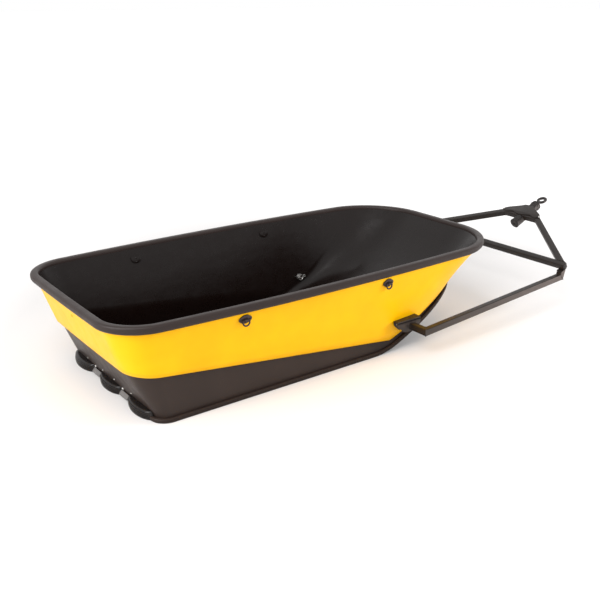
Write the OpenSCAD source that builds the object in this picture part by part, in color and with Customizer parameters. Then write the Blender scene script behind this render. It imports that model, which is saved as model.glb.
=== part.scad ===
// Snowmobile cargo sled: a moulded tub on a skid pan, with a hinged drawbar.
// X points forward to the bow, Y to the left, Z up, and the floor is at z = 0.
// Lengths along the hull are measured from the middle of the rim.

/* [Rim] */
// Distance from the middle of the rim back to the stern edge
rim_stern = 911; // [880:1:940]
// Distance from the middle of the rim forward to the bow edge
rim_bow = 905; // [880:1:940]
// Half the width of the rim at its widest place
rim_half_w = 450; // [440:1:470]
// How much narrower each side is at its ends than at its middle
side_bow = 24.5; // [0:0.5:40]
// How far the middles of the bow and stern stand out past their corners
end_crown = 4; // [2:0.5:12]
// Height of the middle of the rolled edge
rim_z = 377; // [350:1:420]
// Radius of the rolled edge
roll_r = 16; // [12:0.5:18]
// Plan radius of the stern corners at the rim
stern_r = 150; // [120:1:200]
// Length of the bow corners at the rim
bow_corner_l = 260; // [220:1:300]
// Width of the bow corners at the rim
bow_corner_w = 283; // [220:1:320]

/* [Hull] */
// Half the width of the pan at its foot
foot_half_w = 368; // [350:1:376]
// Distance back to the foot of the stern wall
foot_stern = 756; // [730:1:790]
// Distance forward to the tip of the pan
foot_bow = 740; // [700:1:780]
// Half the width where the pan ends under the skin
line_half_w = 362; // [350:1:372]
// Distance back to the top edge of the pan
line_stern = 832; // [810:1:850]
// Distance forward to the top edge of the pan
line_bow = 765; // [745:1:800]
// Height of the top edge of the pan at the stern
line_z = 175; // [150:1:200]
// Fall of that edge for each unit of length towards the bow
line_fall = 0.12; // [0.08:0.01:0.14]
// How far the skin stands out over the pan
skin_step = 14; // [6:0.5:16]
// Thickness of the skin at its top
skin_t = 4; // [3:0.5:5]
// Thickness of the liner
liner_t = 5; // [4:0.5:7]
// Thickness of the pan
pan_t = 5; // [4:0.5:7]
// Radius of the cove between the liner's floor and its side and stern walls
cove_r = 45; // [20:1:60]
// Radius of the cove at the bow, where floor and wall make one scoop
bow_cove_r = 140; // [80:1:150]

/* [Skid] */
// Distance forward to where the bottom starts to rise
rise_x = 200; // [150:1:240]
// Radius of the bend where the bottom rises
rise_r = 300; // [200:5:400]
// Angle of the bottom under the bow
rise_angle = 22; // [16:1:26]
// Height of the lip along the foot of the pan
lip_h = 16; // [12:0.5:20]
// How far the lip stands out
lip_w = 16; // [8:0.5:18]
// Width of the black band between the lip and the skin at the bow
band_h = 36; // [30:1:50]
// Width of each of the three runners at the stern
runner_w = 175; // [140:1:190]
// How far the ends of the runners stand out past the lip
runner_out = 22; // [10:1:30]
// Width of the two channels between the runners
channel_w = 66; // [50:1:80]

/* [Drawbar] */
// Side of the square tube
tube_w = 28; // [25:0.5:32]
// Wall of the square tube
tube_t = 2.5; // [2:0.5:4]
// Distance forward to the pivot
pivot_x = 365; // [340:1:390]
// Height of the pivot
pivot_z = 112; // [100:1:125]
// Length of each stub from the bracket's cheek to the elbow
stub_l = 79; // [60:1:110]
// Distance forward to the cross bar
cross_x = 1283; // [1200:1:1350]
// Half the width of the cross bar, corner to corner
cross_half_w = 450; // [420:1:460]
// Height of the front end of the arms
arm_end_z = 149; // [140:1:160]
// Height of the cross bar
cross_z = 200; // [190:1:215]
// Upward angle of the front frame
frame_angle = 24; // [18:1:28]
// Length from the cross bar to the bends of the front tubes
bend_l = 262; // [250:1:280]
// Half the width between the bends of the front tubes
bend_half_w = 100; // [80:1:120]

/* [Pivot] */
// Diameter of the washer inside the tub
washer_d = 30; // [26:1:36]
// Diameter of the pivot bolt
bolt_d = 16; // [12:1:18]
// Length of the bracket along the hull
bracket_l = 130; // [110:1:150]
// Height of the bracket
bracket_h = 53; // [46:1:64]
// Thickness of the bracket plate
bracket_t = 4; // [3:0.5:6]
// How far the outer cheek stands out from the skin
cheek_out = 38; // [30:1:48]

/* [Hitch] */
// Outer diameter of the hitch tube
hitch_d = 48; // [44:0.5:52]
// Length from the cross bar to the back end of the hitch tube
hitch_back = 207; // [190:1:220]
// Length from the cross bar to the front end of the hitch tube
hitch_front = 366; // [355:1:380]
// Length from the front end of the hitch tube to the middle of the tow ring
eye_out = 61; // [58:1:75]
// Outer diameter of the tow ring
eye_d = 53; // [50:0.5:60]
// Hole of the tow ring
eye_hole = 26; // [22:0.5:30]
// Thickness of the tow ring
eye_t = 13; // [10:0.5:16]
// Thickness of the gusset plates
gusset_t = 4; // [3:0.5:6]

/* [Lashing] */
// Distance forward to the front lashing rings
lash_front = 210; // [180:1:240]
// Distance back to the rear lashing rings
lash_rear = 440; // [400:1:480]
// Height of the lashing rings
lash_z = 333; // [320:1:340]
// Width of the lashing pads
pad_w = 52; // [44:1:58]
// Height of the lashing pads
pad_h = 36; // [32:1:44]
// Thickness of the lashing pads
pad_t = 4; // [3:0.5:6]
// Diameter of the wire of the rings
wire_d = 6; // [5:0.5:8]
// Radius of the round part of the rings
ring_r = 13; // [11:0.5:16]

/* [Hidden] */
$fn = 64;

// Fit between fixed pieces, and between a turning piece and its bearing
gap = 0.3;
run = 0.05;
// How far the cutting tools reach past the pieces they cut
past = 30;
sleeve_d = tube_w - 2 * tube_t - 2 * gap;
black = "#262423";
yellow = "#ffd21e";
steel = "#4b4542";
zinc = "#b9bcc0";

// The object's own origin lies below the middle of its overall box
eye_round = 4;
eye_l = hitch_front + eye_out;
hitch_n = tube_w / 2 - hitch_d / 2;
eye_front = cross_x + eye_l * cos(frame_angle) - hitch_n * sin(frame_angle) + eye_round
    + (eye_d / 2 - eye_round) * cos(frame_angle) + (eye_t / 2 - eye_round) * sin(frame_angle);
origin_x = (eye_front - rim_stern - roll_r) / 2;
module place() translate([-origin_x, 0, 0]) children();

// Numbers of steps along the half outline: stern, stern corner, side, bow
n_stern = 2;
n_corner = 6;
n_side = 12;
n_bow = 18;
n_roll = 12;
n_cove = 6;

// A plan is [half width, stern, stern radius, bow, corner length, corner width, side bow]
rim_plan = [rim_half_w, -rim_stern, stern_r, rim_bow, bow_corner_l, bow_corner_w, side_bow];
foot_stern_r = 45;
foot_corner_l = 440;
foot_corner_w = 170;
foot_plan = [foot_half_w, -foot_stern, foot_stern_r, foot_bow, foot_corner_l, foot_corner_w, 0];
line_stern_r = 90;
line_corner_l = 430;
line_corner_w = 180;
line_plan = [line_half_w, -line_stern, line_stern_r, line_bow, line_corner_l, line_corner_w, 0];
// All outlines share the same steps along the side up to here
side_end = foot_bow - foot_corner_l - 20;
step_plan = grow(line_plan, skin_step);

function grow(p, d) = [p[0] + d, p[1] - d, max(p[2] + d, 1), p[3] + d, p[4] + d, p[5] + d, p[6]];

side_mid = -20;
side_l = 760;
function bowed(p, x, y) = y * (1 - p[6] / p[0] * pow((x - side_mid) / side_l, 2));

// Each end bulges a little, most at its middle
function crowned(p, q) = [q[0] - end_crown * pow(q[1] / p[0], 2) * (q[0] - side_mid) / side_l, q[1]];

// The bow runs straight, round its corner and in to the middle, by share of its length
function bow_point(p, t) = let (x1 = p[3] - p[4], yb = p[0] - p[5],
    straight = x1 - side_end, arc = PI / 4 * (p[4] + p[5]), d = t * (straight + arc + yb))
    d < straight ? [side_end + d, p[0]]
    : d < straight + arc ? let (a = 90 * (d - straight) / arc) [x1 + p[4] * sin(a), yb + p[5] * cos(a)]
    : [p[3], max(yb - (d - straight - arc), 0)];

function half_outline(p) = let (ys = p[0] - p[2], x0 = p[1] + p[2]) [for (q = concat(
    [for (i = [0:n_stern - 1]) [p[1], ys * i / n_stern]],
    [for (i = [0:n_corner - 1]) let (a = 90 * i / n_corner) [x0 - p[2] * cos(a), ys + p[2] * sin(a)]],
    [for (i = [0:n_side - 1]) [x0 + (side_end - x0) * (1 - pow(1 - i / n_side, 1.6)), p[0]]],
    [for (i = [0:n_bow]) bow_point(p, i / n_bow)])) crowned(p, q)];

// Height of the bottom of the pan: flat, then a bend, then a straight rise
bend_x = rise_x + rise_r * sin(rise_angle);
bend_z = rise_r * (1 - cos(rise_angle));
function floor_z(x) = x < rise_x ? 0
    : x < bend_x ? rise_r - sqrt(rise_r * rise_r - pow(x - rise_x, 2))
    : bend_z + (x - bend_x) * tan(rise_angle);
// Height of the top edge of the pan
function edge_z(x) = max(line_z - line_fall * (x + foot_stern), floor_z(x) + band_h);

// Rings of points, stern middle first, right side forward, left side back
function closed_ring(h) = let (m = len(h) - 1)
    concat([for (i = [0:m]) [h[i][0], -h[i][1], h[i][2]]], [for (i = [m - 1:-1:1]) h[i]]);
function ring_at(p, z) = closed_ring([for (q = half_outline(p)) [q[0], bowed(p, q[0], q[1]), z]]);
function ring_floor(p, dz) = closed_ring([for (q = half_outline(p)) [q[0], q[1], floor_z(q[0]) + dz]]);
function ring_edge(p, dz) = closed_ring([for (q = half_outline(p)) [q[0], q[1], edge_z(q[0]) + dz]]);

// Each quad is split from its lower point nearer the stern, so that layers fit.
// A solid through rings of points, either with a floor across its first and last
// rings or, as a loop, with its last ring joined to its first
module rings_solid(rings, loop = false) {
    n = len(rings[0]);
    k = len(rings);
    half = n / 2;
    walls = [for (r = [0:(loop ? k - 1 : k - 2)], j = [0:n - 1])
        let (a = r * n + j, b = r * n + (j + 1) % n,
            c = ((r + 1) % k) * n + (j + 1) % n, d = ((r + 1) % k) * n + j,
            up = rings[(r + 1) % k][j][2] >= rings[r][j][2], right = j < half)
        each (up == right ? [[a, c, b], [a, d, c]] : [[a, d, b], [b, d, c]])];
    function strip(s, flip) = [for (j = [0:half - 1])
        let (a = s + j, b = s + j + 1, c = s + (n - j - 1) % n, d = s + (n - j) % n)
        each (j == 0 ? [flip ? [a, b, c] : [a, c, b]]
            : j == half - 1 ? [flip ? [a, b, d] : [a, d, b]]
            : flip ? [[a, b, c], [a, c, d]] : [[a, c, b], [a, d, c]])];
    polyhedron(points = [for (r = rings) each r],
        faces = loop ? walls : concat(walls, strip(0, true), strip((k - 1) * n, false)));
}

// Points of a wall between a low and a high outline at one height
function wall_at(low, high, z) = [for (j = [n_stern + n_corner : n_stern + n_corner + n_side + 3])
    let (a = low[j], b = high[j], t = (z - a[2]) / (b[2] - a[2])) a * (1 - t) + b * t];
function wall_y(low, high, x, z) = lookup(x, [for (q = wall_at(low, high, z)) [q[0], q[1]]]);
function lean(low, high, x, z) =
    atan((wall_y(low, high, x, z + 8) - wall_y(low, high, x, z - 8)) / 16);
function heading(low, high, x, z) =
    atan((wall_y(low, high, x + 12, z) - wall_y(low, high, x - 12, z)) / 24);
function half_edge(p, dz) = [for (q = half_outline(p)) [q[0], q[1], edge_z(q[0]) + dz]];
function half_at(p, z) = [for (q = half_outline(p)) [q[0], bowed(p, q[0], q[1]), z]];

// The skin's outer face and the liner's inner face
skin_low = half_edge(step_plan, 0);
skin_top_z = rim_z - roll_r - gap;
skin_in_plan = grow(rim_plan, gap - roll_r * cos(45));
skin_top = half_at(grow(skin_in_plan, skin_t), skin_top_z);
floor_in = pan_t + gap + liner_t;
inner_line = half_edge(grow(line_plan, -floor_in), 0);
in_top = half_at(grow(rim_plan, -roll_r - 2 * gap), rim_z);
// The cove's radius grows along the hull, from the side to the bow
cove_start = pivot_x + 25;
cove_length = 260;
function cove_share(x) = let (t = min(max((x - cove_start) / cove_length, 0), 1)) t * t * (3 - 2 * t);
function cove_at(x) = cove_r + (bow_cove_r - cove_r) * cove_share(x);
inner_foot = half_outline(grow(foot_plan, -floor_in));
function mixed(a, b, t) = a * (1 - t) + b * t;
// Points of the inner wall at a height, each above its own point of the foot
function wall_point(j, z) = let (f = inner_foot[j], a = inner_line[j], b = in_top[j],
    base = [f[0], f[1], floor_z(f[0]) + lip_h])
    z < a[2] ? mixed(base, a, (z - base[2]) / (a[2] - base[2])) : mixed(a, b, (z - a[2]) / (b[2] - a[2]));
function cove_top(j) = floor_z(inner_foot[j][0]) + floor_in + cove_at(inner_foot[j][0]);
// The inner wall bends where the skin begins, or just above the cove if that is higher
in_low = [for (j = [0:len(in_top) - 1]) wall_point(j, max(inner_line[j][2], cove_top(j) + 1))];

// The left side is drawn, and the right side is its mirror image
module side(left) mirror([0, left ? 0 : 1, 0]) children();

// A frame on a wall: its x runs forward, its y out from the wall, its z up the wall
module on_wall(low, high, x, z) translate([x, wall_y(low, high, x, z), z])
    rotate([-lean(low, high, x, z), 0, heading(low, high, x, z)]) children();

module along_y(y0, y1) translate([0, y0, 0]) rotate([-90, 0, 0]) linear_extrude(y1 - y0) children();
module rod_y(d, y0, y1) along_y(y0, y1) circle(d = d);

skin_pivot_y = wall_y(skin_low, skin_top, pivot_x, pivot_z);
liner_pivot_y = wall_y(in_low, in_top, pivot_x, pivot_z);
module pivot_hole(left) side(left) translate([pivot_x, 0, pivot_z])
    rod_y(bolt_d + 2 * gap, liner_pivot_y - past, skin_pivot_y + past);

// A ring round the rim, at an angle on a circle about the rolled edge's middle
function ring_roll(r, a) = ring_at(grow(rim_plan, r * cos(a)), rim_z + r * sin(a));

// The black inner tub: floor, cove and wall, up to the inside of the rolled edge
module liner() {
    outer_foot = grow(foot_plan, -pan_t - gap);
    outer_line = grow(line_plan, -pan_t - gap);
    outside = [ring_floor(outer_foot, pan_t + gap), ring_floor(outer_foot, lip_h), ring_edge(outer_line, 0)];
    seat = [for (a = [-135:-22.5:-180]) ring_roll(roll_r + 2 * gap, a)];
    // Each cove is a parabola from the wall to the floor that leans on the foot's corner
    small = half_outline(grow(foot_plan, -floor_in - cove_r));
    large = half_outline(grow(foot_plan, -floor_in - bow_cove_r));
    cove = [for (i = [0:n_cove]) let (t = i / n_cove) closed_ring([for (j = [0:len(in_top) - 1])
        let (f = inner_foot[j], q = mixed(small[j], large[j], cove_share(f[0])),
            low = [q[0], q[1], floor_z(q[0]) + floor_in], corner = [f[0], f[1], floor_z(f[0]) + floor_in],
            high = wall_point(j, cove_top(j)))
        high * pow(1 - t, 2) + corner * 2 * t * (1 - t) + low * t * t])];
    color(black) place() difference() {
        rings_solid(concat(outside, seat, [closed_ring(in_low)], cove));
        for (left = [false, true]) pivot_hole(left);
    }
}

// The black rolled edge on top of the walls
module rim() color(black) place() rings_solid(
    [for (i = [0:n_roll - 1]) ring_roll(roll_r, 180 + 360 * i / n_roll)], loop = true);

// The yellow outer skin, whose lower edge stands out over the pan
module skin() {
    in_top_ring = ring_at(skin_in_plan, skin_top_z);
    in_low_ring = ring_edge(grow(line_plan, -pan_t), 0);
    color(yellow) place() difference() {
        rings_solid([closed_ring(skin_low), closed_ring(skin_top), in_top_ring, in_low_ring],
            loop = true);
        for (left = [false, true]) pivot_hole(left);
    }
}

// The black skid pan: bottom, lip and the band that runs up to the skin
module skid_pan() color(black) place() difference() {
    union() {
        rings_solid([
            ring_floor(grow(foot_plan, lip_w), 0),
            ring_floor(grow(foot_plan, lip_w), lip_h),
            ring_floor(foot_plan, lip_h),
            ring_edge(line_plan, -gap),
            ring_edge(grow(line_plan, -pan_t), -gap),
            ring_floor(grow(foot_plan, -pan_t), lip_h),
            ring_floor(grow(foot_plan, -pan_t), pan_t)]);
        for (i = [-1:1]) translate([-foot_stern, i * (runner_w + channel_w), 0]) runner_end();
    }
    for (i = [-1, 1]) translate([-foot_stern - past, (i * (runner_w + channel_w) - channel_w) / 2, -past])
        cube([past - 2, channel_w, past + channel_h]);
}

// The rounded end of a runner, from inside the lip out past it, and up the stern wall
channel_h = 11;
runner_h = 34;
runner_in = 3;
module runner_end() hull() {
    translate([-runner_in, 0, 0]) linear_extrude(lip_h) half_oval(lip_w + runner_out - runner_in);
    translate([-2 * runner_in, 0, 0]) linear_extrude(runner_h) half_oval(lip_w / 2);
}
module half_oval(reach) intersection() {
    scale([reach / runner_w * 2, 1]) circle(d = runner_w, $fn = 32);
    translate([-reach - 1, -runner_w]) square([reach + 1, 2 * runner_w]);
}

// The bent bracket: a base plate on the skin, a top plate and an outer cheek
cheek_y = skin_pivot_y + cheek_out;
elbow_y = cheek_y + stub_l;
bracket_back = -82;
bracket_top = 31;
bracket_low = bracket_top - bracket_h;
function bracket_shape() = let (x0 = bracket_back, x1 = x0 + bracket_l, z0 = bracket_low, z1 = bracket_top)
    [[x0, z1], [x0, z1 - 14], [x0 + 14, z0 + 24], [x0 + 44, z0], [x1 - 26, z0], [x1 - 8, z0 + 16],
        [x1, z0 + 34], [x1, z1]];
// Along y, a drawing's second axis points down
module bracket_plate(y0, y1) along_y(y0, y1) polygon([for (q = bracket_shape()) [q[0], -q[1]]]);
module on_pivot_wall() on_wall(skin_low, skin_top, pivot_x, pivot_z) children();
module bracket(left) color(steel) place() side(left) difference() {
    union() {
        on_pivot_wall() bracket_plate(3 * gap, bracket_t);
        difference() {
            translate([pivot_x, 0, pivot_z]) {
                bracket_plate(cheek_y - bracket_t, cheek_y);
                translate([bracket_back, skin_pivot_y - past, bracket_top - bracket_t])
                    cube([bracket_l, cheek_y - skin_pivot_y + past, bracket_t]);
            }
            on_pivot_wall() translate([-bracket_l, 3 * gap - 4 * past, -bracket_l])
                cube([2 * bracket_l, 4 * past, 2 * bracket_l]);
        }
    }
    translate([pivot_x, 0, pivot_z]) {
        rod_y(sleeve_d + 2 * gap, cheek_y - bracket_t - past / 4, cheek_y + past);
        rod_y(bolt_d + 2 * gap, skin_pivot_y - past, skin_pivot_y + past);
    }
}

// The bolt that the drawbar turns on, its head inside the tub
head_y = liner_pivot_y - 12;
head_t = 10;
head_d = 28;
bolt_end_y = cheek_y + 40;
module pivot_bolt(left) color(zinc) place() side(left) translate([pivot_x, 0, pivot_z]) {
    rod_y(bolt_d, head_y, bolt_end_y);
    along_y(head_y - head_t, head_y) circle(d = head_d, $fn = 6);
}

// The wedge washer between the bolt's head and the liner
module pivot_washer(left) color(zinc) place() side(left) difference() {
    translate([pivot_x, 0, pivot_z]) rod_y(washer_d, head_y + gap, liner_pivot_y + past);
    on_wall(in_low, in_top, pivot_x, pivot_z) translate([-washer_d, -4 * gap, -washer_d])
        cube(2 * washer_d);
    translate([pivot_x, 0, pivot_z]) rod_y(bolt_d + 2 * gap, head_y - past, liner_pivot_y + past);
}

// The sleeve in the end of each arm that turns on the bolt
sleeve_y = skin_pivot_y + 14;
sleeve_end_y = bolt_end_y + 4;
module pivot_sleeve(left) color(steel) place() side(left) translate([pivot_x, 0, pivot_z])
    difference() {
        rod_y(sleeve_d, sleeve_y, sleeve_end_y);
        rod_y(bolt_d + 2 * run, sleeve_y - past, sleeve_end_y + past);
    }

// The front frame lies in a plane that rises from the cross bar at the frame angle
module front_frame() translate([cross_x, 0, cross_z]) rotate([0, -frame_angle, 0]) children();

// The path of one arm: stub, elbow and arm, then the riser up to the corner of the cross bar
riser_run = 14;
arm_path = [[pivot_x, cheek_y + gap, pivot_z], [pivot_x, elbow_y, pivot_z],
    [cross_x - riser_run, cross_half_w, arm_end_z], [cross_x, cross_half_w, cross_z]];

// The corners of a square tube, rounded, standing across the first stretch of the path
function tube_section(w, r) = [for (c = [0:3], i = [0:2]) let (a = 90 * c + 45 * i)
    [(w / 2 - r) * (c == 0 || c == 3 ? 1 : -1) + r * cos(a), 0,
        (w / 2 - r) * (c < 2 ? 1 : -1) + r * sin(a)]];
function unit(v) = v / norm(v);
// Each corner of a ring runs on along d until it meets the plane through p across n
function run_on(ring, d, p, n) = [for (q = ring) q + d * (((p - q) * n) / (d * n))];
// The rings of a tube lie in the mitre planes at the points of its path
function carry(path, ring, i) = i == len(path) ? [] :
    let (d = unit(path[i] - path[i - 1]),
        n = i == len(path) - 1 ? d : unit(d + unit(path[i + 1] - path[i])),
        next = run_on(ring, d, path[i], n))
    concat([next], carry(path, next, i + 1));
function tube_rings(path, section) =
    let (first = [for (s = section) path[0] + s]) concat([first], carry(path, first, 1));

module tube_solid(outer, inner) {
    n = len(outer[0]);
    k = len(outer);
    // Points go round the wall: outside from start to end, inside from end to start
    rings = concat(outer, [for (i = [k - 1:-1:0]) inner[i]]);
    m = 2 * k;
    polyhedron(points = [for (r = rings) each r],
        faces = [for (r = [0:m - 1], j = [0:n - 1])
            let (a = r * n + j, b = r * n + (j + 1) % n,
                c = ((r + 1) % m) * n + (j + 1) % n, d = ((r + 1) % m) * n + j)
            each [[a, b, c], [a, c, d]]]);
}
tube_r = 4;
arm_outer = tube_rings(arm_path, tube_section(tube_w, tube_r));
arm_inner = tube_rings(arm_path, tube_section(tube_w - 2 * tube_t, tube_r - tube_t));
function first_three(rings) = [rings[0], rings[1], rings[2]];
module arm(left) color(steel) place() side(left)
    tube_solid(first_three(arm_outer), first_three(arm_inner));

// A length of square tube along x, with its middle on the axis
module tube_x(x0, x1) translate([x0, 0, 0]) rotate([90, 0, 90]) linear_extrude(x1 - x0)
    difference() {
        square(tube_w, center = true);
        square(tube_w - 2 * tube_t, center = true);
    }

// The short upright, mitred to the end of an arm and cut off under the cross bar
riser_dir = unit(arm_path[3] - arm_path[2]);
frame_normal = [-sin(frame_angle), 0, cos(frame_angle)];
function riser_rings(ring) = let (start = [for (q = ring) q + riser_dir * 2 * gap])
    [start, run_on(start, riser_dir, [cross_x, cross_half_w, cross_z] - frame_normal * tube_w / 2, frame_normal)];
module riser(left) color(steel) place() side(left)
    tube_solid(riser_rings(arm_outer[2]), riser_rings(arm_inner[2]));

// The hitch tube's top is level with the tops of the front tubes
module hitch_axis() front_frame() translate([0, 0, hitch_n]) rotate([0, 90, 0]) children();

// A front tube runs from the side of the hitch tube out to its bend and back to the cross bar
front_path = [[bend_l, 0, 0], [bend_l, bend_half_w, 0], [0, cross_half_w, 0]];
module front_tube(left) color(steel) place() difference() {
    front_frame() side(left) tube_solid(
        tube_rings(front_path, tube_section(tube_w, tube_r)),
        tube_rings(front_path, tube_section(tube_w - 2 * tube_t, tube_r - tube_t)));
    front_frame() translate([-3.5 * tube_w, -cross_half_w - 2 * tube_w, -tube_w])
        cube([4 * tube_w, 2 * cross_half_w + 4 * tube_w, 2 * tube_w]);
    hitch_axis() translate([0, 0, hitch_back]) cylinder(d = hitch_d + 2 * gap, h = bend_l);
}

module cross_bar() color(steel) place() front_frame() rotate([0, 0, 90])
    tube_x(-cross_half_w - tube_w / 2, cross_half_w + tube_w / 2);

// The plate that joins the front tubes over the hitch tube: its left half, front to back
gusset_edge = [[72, 26], [62, 34], [18, 112], [-6, 116], [-16, 96], [-12, 48], [-20, 16]];
module gusset() color(steel) place() front_frame() translate([bend_l, 0, tube_w / 2 + gap / 3])
    linear_extrude(gusset_t) polygon(concat(gusset_edge,
        [for (i = [len(gusset_edge) - 1:-1:0]) [gusset_edge[i][0], -gusset_edge[i][1]]]));

hitch_wall = 3;
cap_t = 5;
cap_hole = 9;
module hitch_tube() color(steel) place() hitch_axis() translate([0, 0, hitch_back]) difference() {
    cylinder(d = hitch_d, h = hitch_front - hitch_back);
    translate([0, 0, -past]) cylinder(d = hitch_d - 2 * hitch_wall, h = hitch_front);
}
module hitch_cap() color(steel) place() hitch_axis() translate([0, 0, hitch_back - cap_t]) difference() {
    cylinder(d = hitch_d + 3, h = cap_t);
    translate([0, 0, -past]) cylinder(d = cap_hole, h = 2 * past);
}
rod_d = 18;
// The collar steps down towards the tow ring: diameter and thickness of each step
collar_steps = [[hitch_d + 5, 6], [hitch_d - 2, 5], [hitch_d + 2, 6], [hitch_d - 12, 5]];
function collar_z(i) = i == 0 ? 0 : collar_z(i - 1) + collar_steps[i - 1][1];
module hitch_collar() color(steel) place() hitch_axis() translate([0, 0, hitch_front]) difference() {
    for (i = [0:len(collar_steps) - 1])
        translate([0, 0, collar_z(i)]) cylinder(d = collar_steps[i][0], h = collar_steps[i][1]);
    translate([0, 0, -past]) cylinder(d = rod_d + 2 * run, h = 4 * past);
}

// The rod that turns in the hitch tube, with the tow ring on its end
rod_back = 247;
rod_front = eye_l - eye_hole / 2 - 5;
module tow_rod() color(steel) place() hitch_axis() difference() {
    union() {
        translate([0, 0, rod_back]) cylinder(d = rod_d, h = rod_front - rod_back);
        translate([0, 0, eye_l]) rotate([0, 90, 0]) rotate_extrude() eye_profile();
    }
    translate([-eye_t, 0, eye_l]) rotate([0, 90, 0]) cylinder(d = eye_hole, h = 2 * eye_t);
}
module eye_profile() {
    r = eye_round;
    w = (eye_d - eye_hole) / 2;
    translate([eye_hole / 2, -eye_t / 2]) union() {
        translate([0, r]) square([w, eye_t - 2 * r]);
        translate([r, 0]) square([w - 2 * r, eye_t]);
        for (x = [r, w - r], y = [r, eye_t - r]) translate([x, y]) circle(r);
    }
}

// Lashing points: pad outside, ring hanging on it, plate inside
barrel_n = pad_t + wire_d / 2 + 2.5;
barrel_d = wire_d + 5;
barrel_l = 14;
leg_l = 8;
plate_t = 3;
module at_lash(x) on_wall(skin_low, skin_top, x, lash_z) children();
// A quarter of a lozenge with blunt corners, then the whole, as shares of its half width and height
pad_quarter = [[1, 0.25], [0.86, 0.45], [0.3, 1]];
pad_shape = [for (s = [[1, 1], [-1, 1], [-1, -1], [1, -1]], i = [0:2])
    let (q = pad_quarter[s[0] * s[1] > 0 ? i : 2 - i]) [q[0] * s[0], q[1] * s[1]]];
module lash_pad(x, left) color(black) place() side(left) at_lash(x) difference() {
    union() {
        along_y(gap, gap + pad_t) polygon([for (q = pad_shape) [q[0] * pad_w / 2, q[1] * pad_h / 2]]);
        translate([-barrel_l / 2, barrel_n, 0]) rotate([0, 90, 0]) cylinder(d = barrel_d, h = barrel_l);
        translate([-barrel_l / 2, pad_t / 2, -barrel_d / 2]) cube([barrel_l, barrel_n - pad_t / 2, barrel_d]);
    }
    translate([-pad_w, barrel_n, 0]) rotate([0, 90, 0]) cylinder(d = wire_d + 2 * gap, h = 2 * pad_w);
}
module lash_ring(x, left) color(steel) place() side(left) at_lash(x) translate([0, barrel_n, 0])
    rotate([lean(skin_low, skin_top, x, lash_z), 0, 0]) {
        translate([-ring_r, 0, 0]) rotate([0, 90, 0]) cylinder(d = wire_d, h = 2 * ring_r);
        for (s = [-1, 1]) translate([s * ring_r, 0, 0]) {
            sphere(d = wire_d);
            translate([0, 0, -leg_l]) cylinder(d = wire_d, h = leg_l);
        }
        translate([0, 0, -leg_l]) rotate([90, 0, 0]) rotate([0, 0, 180]) rotate_extrude(angle = 180)
            translate([ring_r, 0]) circle(d = wire_d);
    }
module lash_plate(x, left) color(black) place() side(left) on_wall(in_low, in_top, x, lash_z)
    translate([-pad_w / 2, -2 * gap - plate_t, -pad_h / 2]) cube([pad_w, plate_t, pad_h]);

liner();
rim();
skin();
skid_pan();
bracket(true);  // bracket_left
bracket(false);  // bracket_right
pivot_bolt(true);  // pivot_bolt_left
pivot_bolt(false);  // pivot_bolt_right
pivot_washer(true);  // pivot_washer_left
pivot_washer(false);  // pivot_washer_right
pivot_sleeve(true);  // pivot_sleeve_left
pivot_sleeve(false);  // pivot_sleeve_right
arm(true);  // arm_left
arm(false);  // arm_right
riser(true);  // riser_left
riser(false);  // riser_right
cross_bar();
front_tube(true);  // front_tube_left
front_tube(false);  // front_tube_right
gusset();
hitch_tube();
hitch_cap();
hitch_collar();
tow_rod();
lash_pad(lash_front, true);  // lash_pad_front_left
lash_pad(lash_front, false);  // lash_pad_front_right
lash_pad(-lash_rear, true);  // lash_pad_rear_left
lash_pad(-lash_rear, false);  // lash_pad_rear_right
lash_ring(lash_front, true);  // lash_ring_front_left
lash_ring(lash_front, false);  // lash_ring_front_right
lash_ring(-lash_rear, true);  // lash_ring_rear_left
lash_ring(-lash_rear, false);  // lash_ring_rear_right
lash_plate(lash_front, true);  // lash_plate_front_left
lash_plate(lash_front, false);  // lash_plate_front_right
lash_plate(-lash_rear, true);  // lash_plate_rear_left
lash_plate(-lash_rear, false);  // lash_plate_rear_right
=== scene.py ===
"""The finished look of a snowmobile sled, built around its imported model.

Lengths are in metres in the part's own frame: x forward, y left, z up, floor at z = 0.
Places along the hull are first worked out from the middle of the rim, as in the part's source,
and then moved to the part's origin.
"""

import math
from collections import namedtuple

import bpy
import numpy as np
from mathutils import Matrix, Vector


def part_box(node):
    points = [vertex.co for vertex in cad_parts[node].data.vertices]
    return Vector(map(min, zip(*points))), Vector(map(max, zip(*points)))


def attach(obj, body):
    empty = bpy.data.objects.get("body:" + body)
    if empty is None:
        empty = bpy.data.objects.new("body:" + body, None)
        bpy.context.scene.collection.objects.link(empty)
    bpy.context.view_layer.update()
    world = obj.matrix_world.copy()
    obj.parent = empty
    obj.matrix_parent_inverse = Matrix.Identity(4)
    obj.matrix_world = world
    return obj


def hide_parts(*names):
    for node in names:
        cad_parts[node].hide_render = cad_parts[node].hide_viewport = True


bl_info = {
    "name": "Snowmobile Sled",
    "version": (1, 0, 0),
    "blender": (4, 5, 0),
    "location": "View3D > Sidebar > Sled",
    "description": "Builds the moulded tub, skid pan, drawbar and hitch of a cargo sled",
    "category": "Object",
}

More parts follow.
